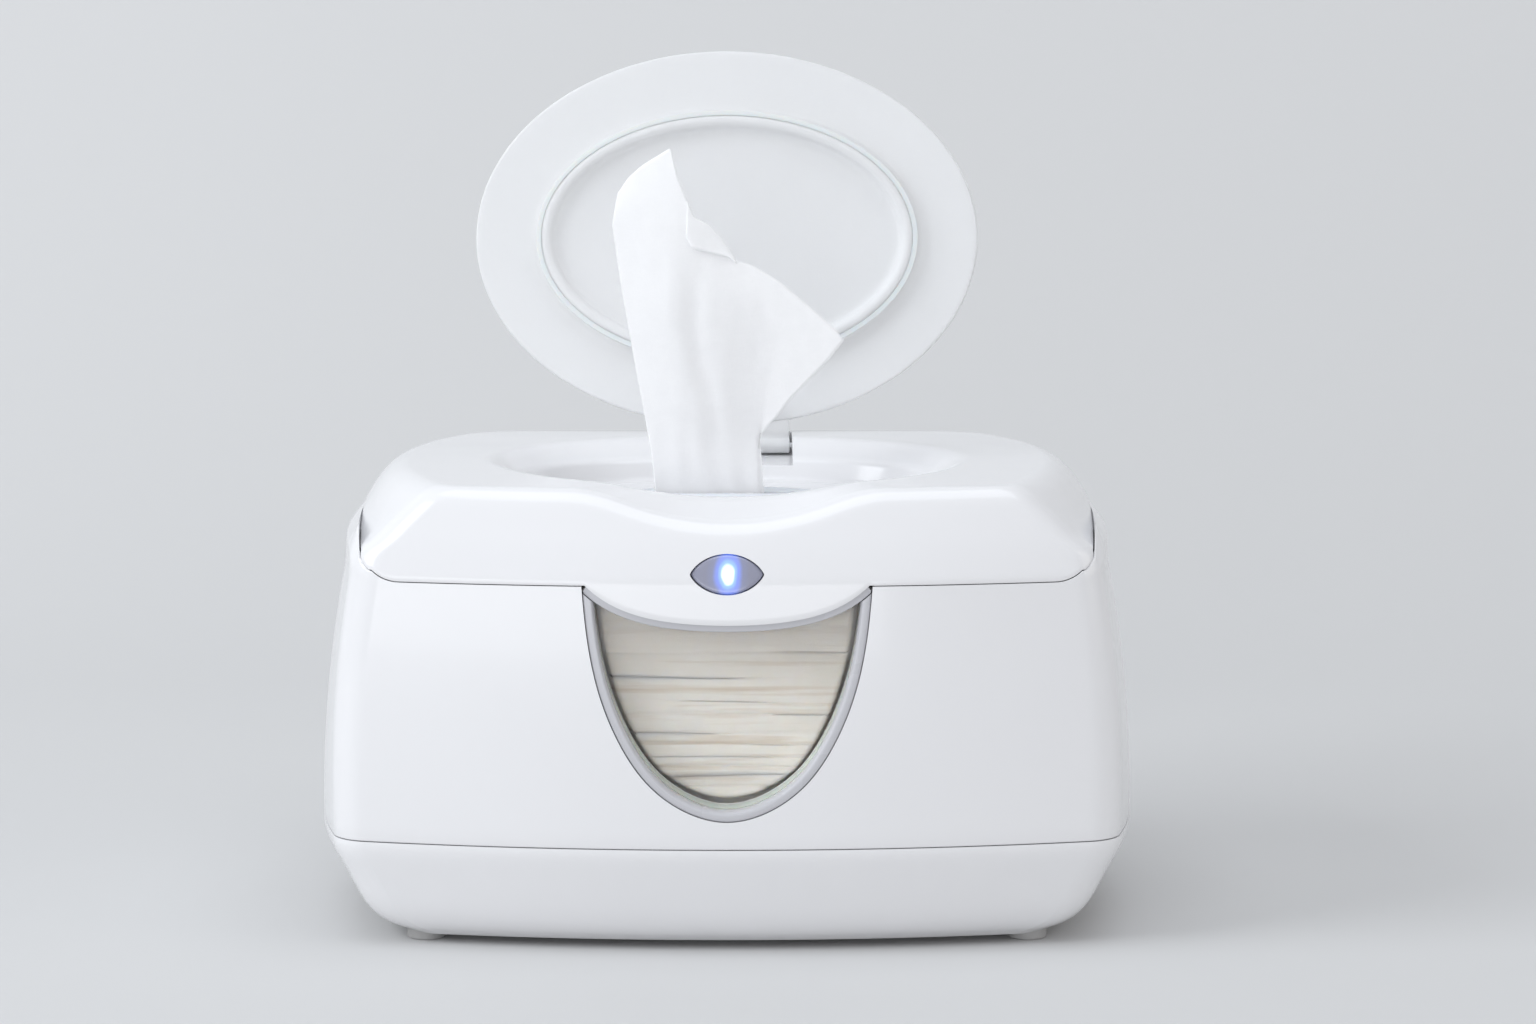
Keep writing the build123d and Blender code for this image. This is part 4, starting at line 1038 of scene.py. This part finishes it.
def housing_rings():
    low, high = housing_edges()
    foot, ledge = TRAY_SEAM + 0.1, 113.5        # bottom of the wall, and the height where the tub hangs
    rings = [house_wall.ring(foot) * (0.998, 0.998, 1), house_wall.ring(foot + 0.12) * (0.9994, 0.9992, 1)]
    start, end = foot + 0.45, low[:, 2] - 0.9
    rings += [house_wall.ring(start + (end - start) * s) for s in np.linspace(0, 1, 22)]
    reach = np.linalg.norm(high - low, axis=1)[:, None]
    turn = low + (high - low) * np.minimum(0.9 / reach, 0.45)
    rings += weighted_arc(house_wall.ring(end), low, turn, 4)
    rings += [turn + (high - turn) * s for s in (0, 0.35, 0.7)]
    top = on_rim(high)
    inward = level(outline(107.7, 80.6, 79.9, 24.4, SIDE_R, FRONT_R), ledge)
    toward = (inward - high) * (1, 1, 0)
    toward /= np.linalg.norm(toward, axis=1)[:, None]
    nearly = high + (low - high) * np.minimum(0.3 / reach, 0.1)
    rings += [nearly, high + toward * 0.12 - (0, 0, 0.03)]
    under = np.minimum(top[:, 2], high[:, 2] - 0.12)
    rings += [level(high + toward * (0.2 + 0.05 * s), high[:, 2] + (under - high[:, 2]) * s - 0.02 * s)
              for s in (0.25, 0.6, 1.0)]
    rings += [on_rim(high + (inward - high) * s) - (0, 0, 0.05)
              for s in (0.02, 0.06, 0.12, 0.2, 0.32, 0.46, 0.62, 0.8, 1.0)]
    shelf = level(outline(101.8, 78.6, 76.2, 23.0, SIDE_R, FRONT_R), ledge)
    rings += [inward, shelf, shelf - (0, 0, 2.0)]
    rings += [house_inner.ring(ledge - 2.0 + (foot - ledge + 2.0) * s) for s in (0.0, 0.2, 0.5, 0.8, 1.0)]
    return rings


def window_cutter(grow=0.15):
    path = smooth_through(NOTCH, 300)
    return prism_mesh("window_cutter", (path + grow * outward_of(path))[::2], "y", -120.0, -76.0)


def knuckle_mesh(name, half, painted_side_shade, up):
    """Round hinge knuckles of that half length, each on a short web below (up -1) or above it (up 1)."""
    middles = [side * HINGE_X + x for side in (-1, 1) for x in painted_side_shade]
    y, z = COVER_AXIS
    turn = np.linspace(0, pi, 17) * -up
    arc = [(y + KNUCKLE * cos(t), z + KNUCKLE * sin(t)) for t in turn]
    profile = arc + [(84.4, z), (84.4, z + up * 3.6), (y + KNUCKLE * 0.2, z + up * 3.6)]
    mesh = bpy.data.meshes.new(name)
    with editing(mesh) as work:
        for x in middles:
            work.from_mesh(bevelled(prism_mesh(name, profile, "x", x - half, x + half), 0.25, 2, 40))
    crisp(mesh)
    return mesh


housing = add_object("housing_soft", ring_mesh("housing_soft", housing_rings(), loop=True), "base",
                     "white_gloss", "housing")
outward(housing.data, merge=0.004, short=0.002)
gaps = [round_bar(s * HINGE_X + g * 13.3, 10.6, KNUCKLE + 0.4) for s in (-1, 1) for g in (-1, 1)]
cut(housing, window_cutter(), *gaps, solver="MANIFOLD")
crisp(housing.data, 38)
add_object("housing_knuckles", knuckle_mesh("housing_knuckles", 7.8, (0,), -1), "base", "white_gloss",
           "housing")
add_object("cover_knuckles", knuckle_mesh("cover_knuckles", 5, (-13.2, 13.2), 1), "cover", "white_gloss",
           "cover_shell")
print("housing:", len(housing.data.vertices), "points")


# %% [markdown]
# ## The wipe
# A wipe is cut 200 by 180 mm from soft spunlace and folded into its neighbour. Pulled up through
# the slit it stands gathered: a front panel, a fold at the left, and more cloth behind it.
# Each panel is spread between four edge curves, so its folds fan out from the slit. A cloth
# simulation would fold by chance, and here each fold has its place.

# %% Cloth helpers
def along_curve(points, count, soft=3):
    """count points at even steps along a line, corners softened a little."""
    points = np.array(points, float)
    run = np.r_[0, np.cumsum(np.linalg.norm(np.diff(points, axis=0), axis=1))]
    fine = np.linspace(0, run[-1], 400)
    line = np.column_stack([np.interp(fine, run, points[:, k]) for k in range(points.shape[1])])
    kernel = np.hanning(8 * soft + 3)
    kernel /= kernel.sum()
    pad = len(kernel) // 2
    for k in range(line.shape[1]):
        ends = [2 * line[0, k] - line[pad:0:-1, k], line[:, k], 2 * line[-1, k] - line[-2:-pad - 2:-1, k]]
        line[:, k] = np.convolve(np.concatenate(ends), kernel, "valid")
    return np.column_stack([np.interp(np.linspace(0, 1, count), np.linspace(0, 1, 400), c) for c in line.T])


def spread(bottom, top, left, right):
    """A patch of points between four edges, indexed by column and then by row."""
    u = np.linspace(0, 1, len(bottom))[:, None, None]
    v = np.linspace(0, 1, len(left))[None, :, None]
    corners = ((1 - u) * (1 - v) * bottom[0] + u * (1 - v) * bottom[-1] + (1 - u) * v * top[0]
               + u * v * top[-1])
    return (1 - v) * bottom[:, None] + v * top[:, None] + (1 - u) * left[None] + u * right[None] - corners


def grid_faces(columns, rows, first=0):
    corners = [first + i * rows + j for i in range(columns - 1) for j in range(rows - 1)]
    return [(k, k + rows, k + rows + 1, k + 1) for k in corners]


# %% Wipe
WIPE_Y = -5.0
# Pairs of height and half thickness: flat in the slit, fullest a little above the middle.
PUFF = [(120, 0.8), (136.5, 0.9), (150, 2.2), (165, 4.0), (200, 5.4), (225, 4.8), (250, 3.0)]


def at_height(z, pairs):
    """The value at height z on a line of (height, value) pairs."""
    return np.interp(z, *np.array(pairs).T)


def gully(x, z, line, width, deep):
    """A soft valley along a line of (height, x) places, as deep as its (height, depth) pairs say."""
    return at_height(z, deep) * np.exp(-((x - at_height(z, line)) / width) ** 2)


VALLEY = [(140, -3.5), (149, -4.4), (158, -3.8), (166, -5.6), (180, -8.6), (193, -11.2), (206, -10.7)]


def front_relief(u, x, z):
    """The front panel comes forward from its left fold to a ridge, then falls back to its right edge."""
    ridge = at_height(z, VALLEY) - 4.5
    left, right = x[:1], x[-1:]
    before = np.clip((x - left) / (ridge - left), 0, 1)
    after = np.clip((x - ridge) / (right - ridge), 0, 1)
    relief = -np.where(x < ridge, 1 - (1 - before) ** 1.7, 1 - after ** 1.7) * at_height(z, PUFF)
    relief += gully(x, z, VALLEY, 3.8, [(138, 0.0), (152, 0.6), (172, 1.1), (198, 0.9), (214, 0.0)])
    relief += gully(x, z, [(140, 5.0), (160, 6.0), (190, 7.5)], 6.5,
                    [(138, 0.1), (152, 0.45), (178, 0.6), (200, 0.0)])
    pleats = np.cos(2 * pi * x / 8.6 + 0.06 * z) * np.clip((166 - z) / 24, 0, 1) * np.clip(6 * u, 0, 1)
    return relief + 0.13 * pleats * np.clip(6 * (1 - u), 0, 1)


def back_relief(u, x, z):
    return 0.85 * np.sin(pi * u ** 0.7) * at_height(z, PUFF) * (1 + 0.12 * np.sin(x / 4.0))


def inner_relief(u, x, z):
    return 0.3 * np.sin(2 * pi * u) * at_height(z, PUFF)


def wipe_panel(top, left, right, relief, columns, rows):
    """A panel between its top, left and right edges, with relief. Its bottom is straight, in the throat."""
    flat = spread(along_curve([left[0], right[0]], columns), along_curve(top, columns, 1),
                  along_curve(left, rows), along_curve(right, rows))
    x, z = flat[..., 0], flat[..., 1]
    u = np.linspace(0, 1, columns)[:, None] + 0 * x
    crimp = np.sin(x * 0.9 + z * 0.13) * np.sin(z * 0.21 + 1.0)
    return np.stack([x, WIPE_Y + relief(u, x, z) + 0.05 * crimp, z], axis=-1)


FOLD_LEFT = [(-24.3, 124), (-23.4, 137), (-24.7, 149.7), (-30.1, 179.2), (-34.5, 204.3), (-37.3, 224),
             (-35.4, 234.0)]
FOLD_RIGHT = [(12.0, 124), (11.4, 137), (10.4, 152), (12.5, 165), (15.5, 186.0)]
EDGE_TOP = [(-35.4, 234.0), (-32.0, 239.2), (-27.5, 243.2), (-18.2, 249.0), (-16.2, 239.8), (-10.8, 226.4),
            (-5.7, 224.0), (-1.7, 219.1), (2.7, 212.2), (8.1, 211.0), (16.9, 205.7), (25.8, 198.1),
            (34.7, 190.4), (38.2, 186.0)]
EDGE_RIGHT = [(13.2, 124), (12.1, 136.4), (11.2, 149.0), (10.6, 153.0), (12.1, 156.6), (16.5, 161.3),
              (19.6, 165.8), (25.8, 172.1), (33.3, 179.7), (38.2, 186.0)]
BACK_TOP = [(-35.4, 234.0), (-31.8, 238.6), (-27.2, 242.4), (-20.5, 246.0), (-17.5, 238.0), (-9.0, 222.0),
            (2.0, 207.0), (12.0, 196.0), (15.5, 186.0)]
INNER_TOP = [(15.5, 186.0), (6.0, 194.0), (-4.0, 200.0), (-14.0, 206.0), (-22.0, 209.0)]
INNER_EDGE = [(-16.0, 124), (-15.5, 137), (-16.5, 155), (-19.0, 180), (-22.0, 209.0)]
FLAP_EDGE = [(-13.4, 220.0), (-11.2, 216.2), (-5.5, 215.0), (0.6, 213.6), (3.2, 211.6)]
FLAP_ROWS = [(0.05, 0.3, 0.35), (0.12, 0.45, 0.3), (0.3, 0.62, 0), (0.5, 0.8, 0), (0.7, 0.95, 0),
             (0.85, 1.05, 0), (1.0, 1.15, 0)]       # how far down the flap, forward and up


def wipe_mesh():
    columns, rows = 90, 96
    front = wipe_panel(EDGE_TOP, FOLD_LEFT, EDGE_RIGHT, front_relief, columns, rows)
    back = wipe_panel(BACK_TOP, FOLD_LEFT, FOLD_RIGHT, back_relief, columns, rows)
    inner = wipe_panel(INNER_TOP, FOLD_RIGHT, INNER_EDGE, inner_relief, columns, rows)
    back[0], inner[0] = front[0], back[-1]
    verts = np.vstack([panel.reshape(-1, 3) for panel in (front, back, inner)])
    faces = [face for k in range(3) for face in grid_faces(columns, rows, k * columns * rows)]
    top = front[:, -1]
    flap = [i for i in range(columns) if -13.2 < top[i, 0] < 3.4 and top[i, 2] < 236]
    edge = along_curve(FLAP_EDGE, len(flap), 1)
    previous = [i * rows + rows - 1 for i in flap]
    for share, forward, up in FLAP_ROWS:
        places = top[flap] + (np.column_stack([edge[:, 0], top[flap, 1], edge[:, 1]]) - top[flap]) * share
        first = len(verts)
        verts = np.vstack([verts, places + (0, -forward, up)])
        faces += [(previous[i], previous[i + 1], first + i + 1, first + i) for i in range(len(flap) - 1)]
        previous = list(range(first, first + len(flap)))
    mesh = bpy.data.meshes.new("popped_wipe")
    mesh.from_pydata((verts * MM).tolist(), [], faces)
    outward(mesh, merge=0.001)
    area = sum(face.area for face in mesh.polygons)
    print(f"wipe: {len(mesh.vertices)} points, {area * 1e4:.0f} cm2 of cloth stands out of the slit")
    return mesh


# The rest of the wipe hangs out of sight below the slit, and isn't modelled. The cut of a whole wipe, in
# metres, and a rough estimate, in square metres, of the cloth that is out of the slit.
wipe = add_object("popped_wipe", wipe_mesh(), "cover", "wipe_cloth", "wipe_tip")
hem = wipe.modifiers.new("thickness", "SOLIDIFY")
hem.thickness, hem.offset = 0.35 * MM, 0.0
bake(wipe)
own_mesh(wipe)

# %% [markdown]
# ## The stack in the tub
# Folded wipes lie on one another like a deck of soft cards. Every layer has a rounded fold at its
# edge and lies a little askew, and a dark crease runs between each pair. Only the edges of the
# deck can be seen, so it is one skin of rings, which step in at every crease.

# %% Wipe stack
STACK_CREASES = [17.6, 25.0, 32.0, 38.5, 43.6, 47.4, 50.9, 55.3, 58.1, 61.0, 65.1, 68.2, 73.8, 77.3, 84.5,
                 92.0, 99.5, 107.5]
STACK_MID = -10.5


def stack_plan(half_width, half_depth, corner, count=520):
    """Points round a rectangle with round corners, from the middle of the front."""
    w, d = half_width - corner, half_depth - corner
    spots = []
    for cx, cy, start in ((w, -d, -90), (w, d, 0), (-w, d, 90), (-w, -d, 180)):
        spots += [(cx + corner * cos(radians(start + t)), cy + corner * sin(radians(start + t)))
                  for t in np.linspace(0, 90, 12)]
    spots = [(0, -half_depth), *spots, (0, -half_depth)]
    return along_curve(spots, count + 1, 0)[:-1]


def pressed(points):
    """The front rises a little, and swells through the tub's window towards the pane."""
    x, y, z = points.T
    rise = np.clip((-22 - y) / 30, 0, 1) * np.clip((z - 60) / 48, 0, 1)
    z = z + 3.6 * rise ** 2 * (3 - 2 * rise)
    right = smooth_through(NOTCH, 420)
    right = right[right[:, 0] >= 0]
    beside = np.clip(np.interp(z, right[:, 1], right[:, 0]) - 3.5 - np.abs(x), 0, None)
    above = np.clip(z - np.interp(np.abs(x), right[:, 0], right[:, 1]) - 3.5, 0, None)
    inside = beside * above / np.maximum(np.hypot(beside, above), 1e-6)
    share = np.clip(inside / 2.4, 0, 1) * np.clip((111.5 - z) / 5, 0, 1)
    swell = (1 - (1 - share) ** 4) * np.clip((-50 - y) / 14, 0, 1)
    return np.column_stack([x, y - 6.5 * swell, z])


def stack_mesh():
    rng = np.random.default_rng(7)
    plan = stack_plan(85.2, 58.2, 14.0)
    turn = 2 * pi * np.arange(len(plan)) / len(plan)
    rings = []
    bottom, top = STACK_CREASES[0], STACK_CREASES[-1]
    for k, (low, high) in enumerate(zip(STACK_CREASES, STACK_CREASES[1:])):
        shift = rng.uniform(-0.12, 0.12, 2)
        waves = [(rng.uniform(0.15, 0.5), n, rng.uniform(0, 2 * pi)) for n in (2, 3, 5, 8)]
        for s in (0.0, 0.06, 0.18, 0.4, 0.65, 0.86, 0.97):
            belly = 0.35 * (1 - (2 * s - 1) ** 4)
            z = low + (high - low) * s
            lift = sum(a * np.sin(n * turn + p) for a, n, p in waves)
            lift = lift * min(1, (z - bottom) / 12, (top - z) / 6)
            swell = 0.25 * np.sin(9 * turn + k) + 0.15 * np.sin(23 * turn + 2 * k)
            out = plan * (1 + (belly - 0.35 + swell * belly * 0.4) / 60)[:, None] + shift
            rings.append(pressed(np.column_stack([out[:, 0], out[:, 1] + STACK_MID, z + lift * 0.8])))
    for s in (0.985, 0.94, 0.8, 0.6, 0.4, 0.2, 0.05):
        x, y = ((out + (0, STACK_MID)) * s).T
        ripple = 0.5 * np.sin(x / 17 + 1) * np.cos(y / 13) + 0.25 * np.sin(x / 6 + y / 9)
        rings.append(pressed(np.column_stack([x, y, top - 0.9 + ripple * min(1, (1 - s) * 6)])))
    return ring_mesh("folded_wipes", rings, caps=True)


stack = add_object("folded_wipes", stack_mesh(), "base", "wipe_cloth", "wipe_stack", look="stack_cloth")
print("layers in the stack:", len(STACK_CREASES) - 1)


# %% [markdown]
# ## The flip lid
# One frosted moulding: a thin oval plate with a soft round rim, and a raised oval ring inside
# that drops into the well. It is shaped shut, then turned up on its hinge to its stop.

# %% Flip lid
LID_AXIS, LID_OPEN = (63.5, 143.3), 99.0
LID_HALF, LID_MID, LID_LOW, LID_TOP = (86.3, 64.5), -8.0, 147.9, 149.6


def oval_ring(inset, z, count=240):
    """The lid's oval, drawn in by inset."""
    turn = np.linspace(0, 2 * pi, count, endpoint=False)
    x, y = (LID_HALF[0] - inset) * np.cos(turn), LID_MID + (LID_HALF[1] - inset) * np.sin(turn)
    return np.column_stack([x, y, np.full(count, z)])


def opened(mesh):
    """Turned from shut to the open stop."""
    y, z = (v * MM for v in LID_AXIS)
    turn = Matrix.Rotation(radians(-LID_OPEN), 4, "X")
    mesh.transform(Matrix.Translation((0, y, z)) @ turn @ Matrix.Translation((0, -y, -z)))
    return mesh


def lid_mesh():
    """Rings as (inset, height above the lower face): under the plate, round its edge, and over the top."""
    thick = LID_TOP - LID_LOW
    under = [(63.0, 0), (48.0, 0), (36.0, 0), (30.4, 0)]
    hump = [(29.4, 0), (28.0, -0.12), (27.1, -0.5), (26.6, -1.1), (26.3, -1.9), (26.0, -2.7), (25.5, -3.3),
            (24.9, -3.6), (24.2, -3.7), (23.4, -3.6), (22.8, -3.3), (22.4, -2.7), (22.1, -1.9), (21.7, -1.1),
            (21.1, -0.5), (20.2, -0.12), (18.8, 0)]
    edge = [(15.0, 0), (8.0, 0), (2.2, 0), (0.9, 0), (0.5, 0.08), (0.2, 0.3), (0.0, 0.75), (0.12, 1.2),
            (0.45, 1.55)]
    over = [(inset, thick) for inset in (1.0, 1.8, 6.0, 20.0, 42.0, 63.0)]
    rings = [oval_ring(inset, LID_LOW + z) for inset, z in under + hump + edge + over]
    return opened(ring_mesh("flip_lid", rings, caps=True))


def lid_tab_mesh():
    y, z = LID_AXIS
    turn = np.linspace(radians(62), radians(-180), 30)
    barrel = [(y + 2.6 * cos(t), z + 2.6 * sin(t)) for t in turn]
    web = [(49.5, LID_LOW + 0.2), (49.5, LID_TOP - 0.05), (60.6, LID_TOP - 0.05), (62.2, LID_TOP - 0.4),
           (63.2, LID_TOP - 1.1)]
    root = [(60.95, 146.6), (60.6, 147.4), (59.9, LID_LOW), (59.0, LID_LOW + 0.2)]
    mesh = prism_mesh("lid_tab", web + barrel + root, "x", -21.4, 21.4)
    return opened(bevelled(mesh, 0.5, 3, 50))


add_object("flip_lid_plate", lid_mesh(), "flip_lid", "lid_frosted", "flip_lid")
lid_tab = add_object("flip_lid_tab", lid_tab_mesh(), "flip_lid", "lid_frosted", "flip_lid")
crisp(lid_tab.data, 40)

# %% [markdown]
# ## The lit button
# A clear-milky lens in the pointed oval hole, domed like a fingernail. An LED behind it makes
# a white core that turns blue towards the edge.

# %% Button
def button_mesh():
    lean, dome = radians(15), 62.0
    cy, cz = -87.3 + dome * cos(lean), BUTTON_Z - dome * sin(lean)
    rings = []
    for s, back in ((0.04, 0), (0.2, 0), (0.4, 0), (0.6, 0), (0.76, 0), (0.87, 0), (0.93, 0.05), (0.965, 0.2),
                    (0.99, 0.5), (1.0, 1.0), (1.0, 2.6)):
        flat = (lens_outline(0.0, 48) - (0, BUTTON_Z)) * s
        x, z = flat[:, 0], flat[:, 1] + BUTTON_Z
        y = cy - np.sqrt(dome ** 2 - x ** 2 - (z - cz) ** 2) + back
        rings.append(np.column_stack([x, y, z]))
    rings.append(np.column_stack([x, np.full(len(x), -81.45), z]))
    return ring_mesh("light_button", rings, caps=True)


def button_stem():
    """Flange, light pipe and switch finger behind the lens. The flange stops above the gasket."""
    face = lens_outline(1.5, 30)
    face[:, 1] = np.maximum(face[:, 1], 119.0)
    flange = prism_mesh("flange", face, "y", -81.5, -80.4)
    pipe = round_rod(0, BUTTON_Z + 2.6, 2.2, (-80.6, -78.4), 32)
    finger = rounded_block((6.8, 9.6), (-80.8, -78.2), (BUTTON_Z + 2.2, BUTTON_Z + 5.0), 0.4)
    return [flange, pipe, finger]


add_object("button_lens", button_mesh(), "light_button", "button_lens", "light_button")
for k, mesh in enumerate(button_stem()):
    crisp(mesh)
    add_object(f"button_stem_{k}", mesh, "light_button", "button_lens", "light_button")


# %% [markdown]
# ## The window's rim
# A grey rim follows the U of the window. Its section is swept along the curve: a flat face,
# a soft outer edge, and a wide inner chamfer that leads down to the clear pane.

# %% Window rim
def front_y(x, z, depth):
    """Depth below the housing's outer face, turned into Y."""
    front = DEEP - FRONT_LEAN * ((z - TRAY_SEAM) / WALL_RISE) ** 2
    return FRONT_R - front - np.sqrt((FRONT_R - depth) ** 2 - x ** 2)


def sweep_mesh(name, lines, depths):
    """A closed section carried along a path: each line of (x, z) places lies at its own depth."""
    rings = [np.column_stack([line[:, 0], front_y(line[:, 0], line[:, 1], depth), line[:, 1]])
             for line, depth in zip(lines, depths)]
    return ring_mesh(name, list(np.array(rings).transpose(1, 0, 2)), caps=True)


def bezel_mesh():
    path = smooth_through(NOTCH, 420)
    normal = outward_of(path)
    section = [(0.0, 4.85), (0.0, 1.1), (-0.1, 0.62), (-0.38, 0.36), (-0.75, 0.3), (-1.6, 0.3), (-2.2, 0.3),
               (-2.45, 0.38), (-2.62, 0.6), (-3.05, 1.5), (-3.18, 1.9), (-3.2, 2.4), (-3.2, 4.85)]
    keep = path[:, 1] < COVER_SEAM
    lines = [path[keep] + normal[keep] * across for across, _ in section]
    return sweep_mesh("window_rim", lines, [depth for _, depth in section])


def under_smile(drop, half_width, count):
    """The smile's line, let down by drop across its own direction."""
    x = np.linspace(-half_width, half_width, count)
    z = smile_height(x)
    slope = np.gradient(z, x)
    down = np.column_stack([slope, -np.ones_like(slope)]) / np.hypot(1, slope)[:, None]
    return np.column_stack([x, z]) + down * drop


def above_smile(drop):
    """Cutter: all of the front view above the smile let down by drop."""
    line = under_smile(drop, TAB_X, 61)
    return prism_mesh("above_smile", [(-70, 112.5), *line, (70, 112.5), (70, 130), (-70, 130)],
                      "y", -100, -60)


bezel = add_object("window_rim", bezel_mesh(), "base", "grey_gloss", "window_bezel")
cut(bezel, above_smile(2.3))
crisp(bezel.data, 50)

# %% [markdown]
# The liner inside the cover ends in a lip that hangs below the smile-shaped tab. With the cover
# shut, it closes the top of the window and carries the grey line on from one arm of the rim to
# the other. It stands a little back from the tab's face, so the tab's edge throws a fine shadow.

# %% Lip below the tab
def lip_mesh():
    half = smooth_through(NOTCH, 420)
    half = half[half[:, 0] > 0]
    section = [(-0.4, 2.4), (-0.4, 0.75), (1.6, 0.75), (1.95, 0.85), (2.1, 1.1), (2.1, 2.4)]
    lines = []
    for reach, _ in section:
        x, z = under_smile(reach, 43.9, 141).T
        limit = np.interp(z, half[:, 1], half[:, 0]) - 0.25
        lines.append(np.column_stack([np.clip(x, -limit, limit), z]))
    return sweep_mesh("tab_lip", lines, [depth for _, depth in section])


lip = add_object("tab_lip", lip_mesh(), "cover", "grey_gloss")
crisp(lip.data, 40)
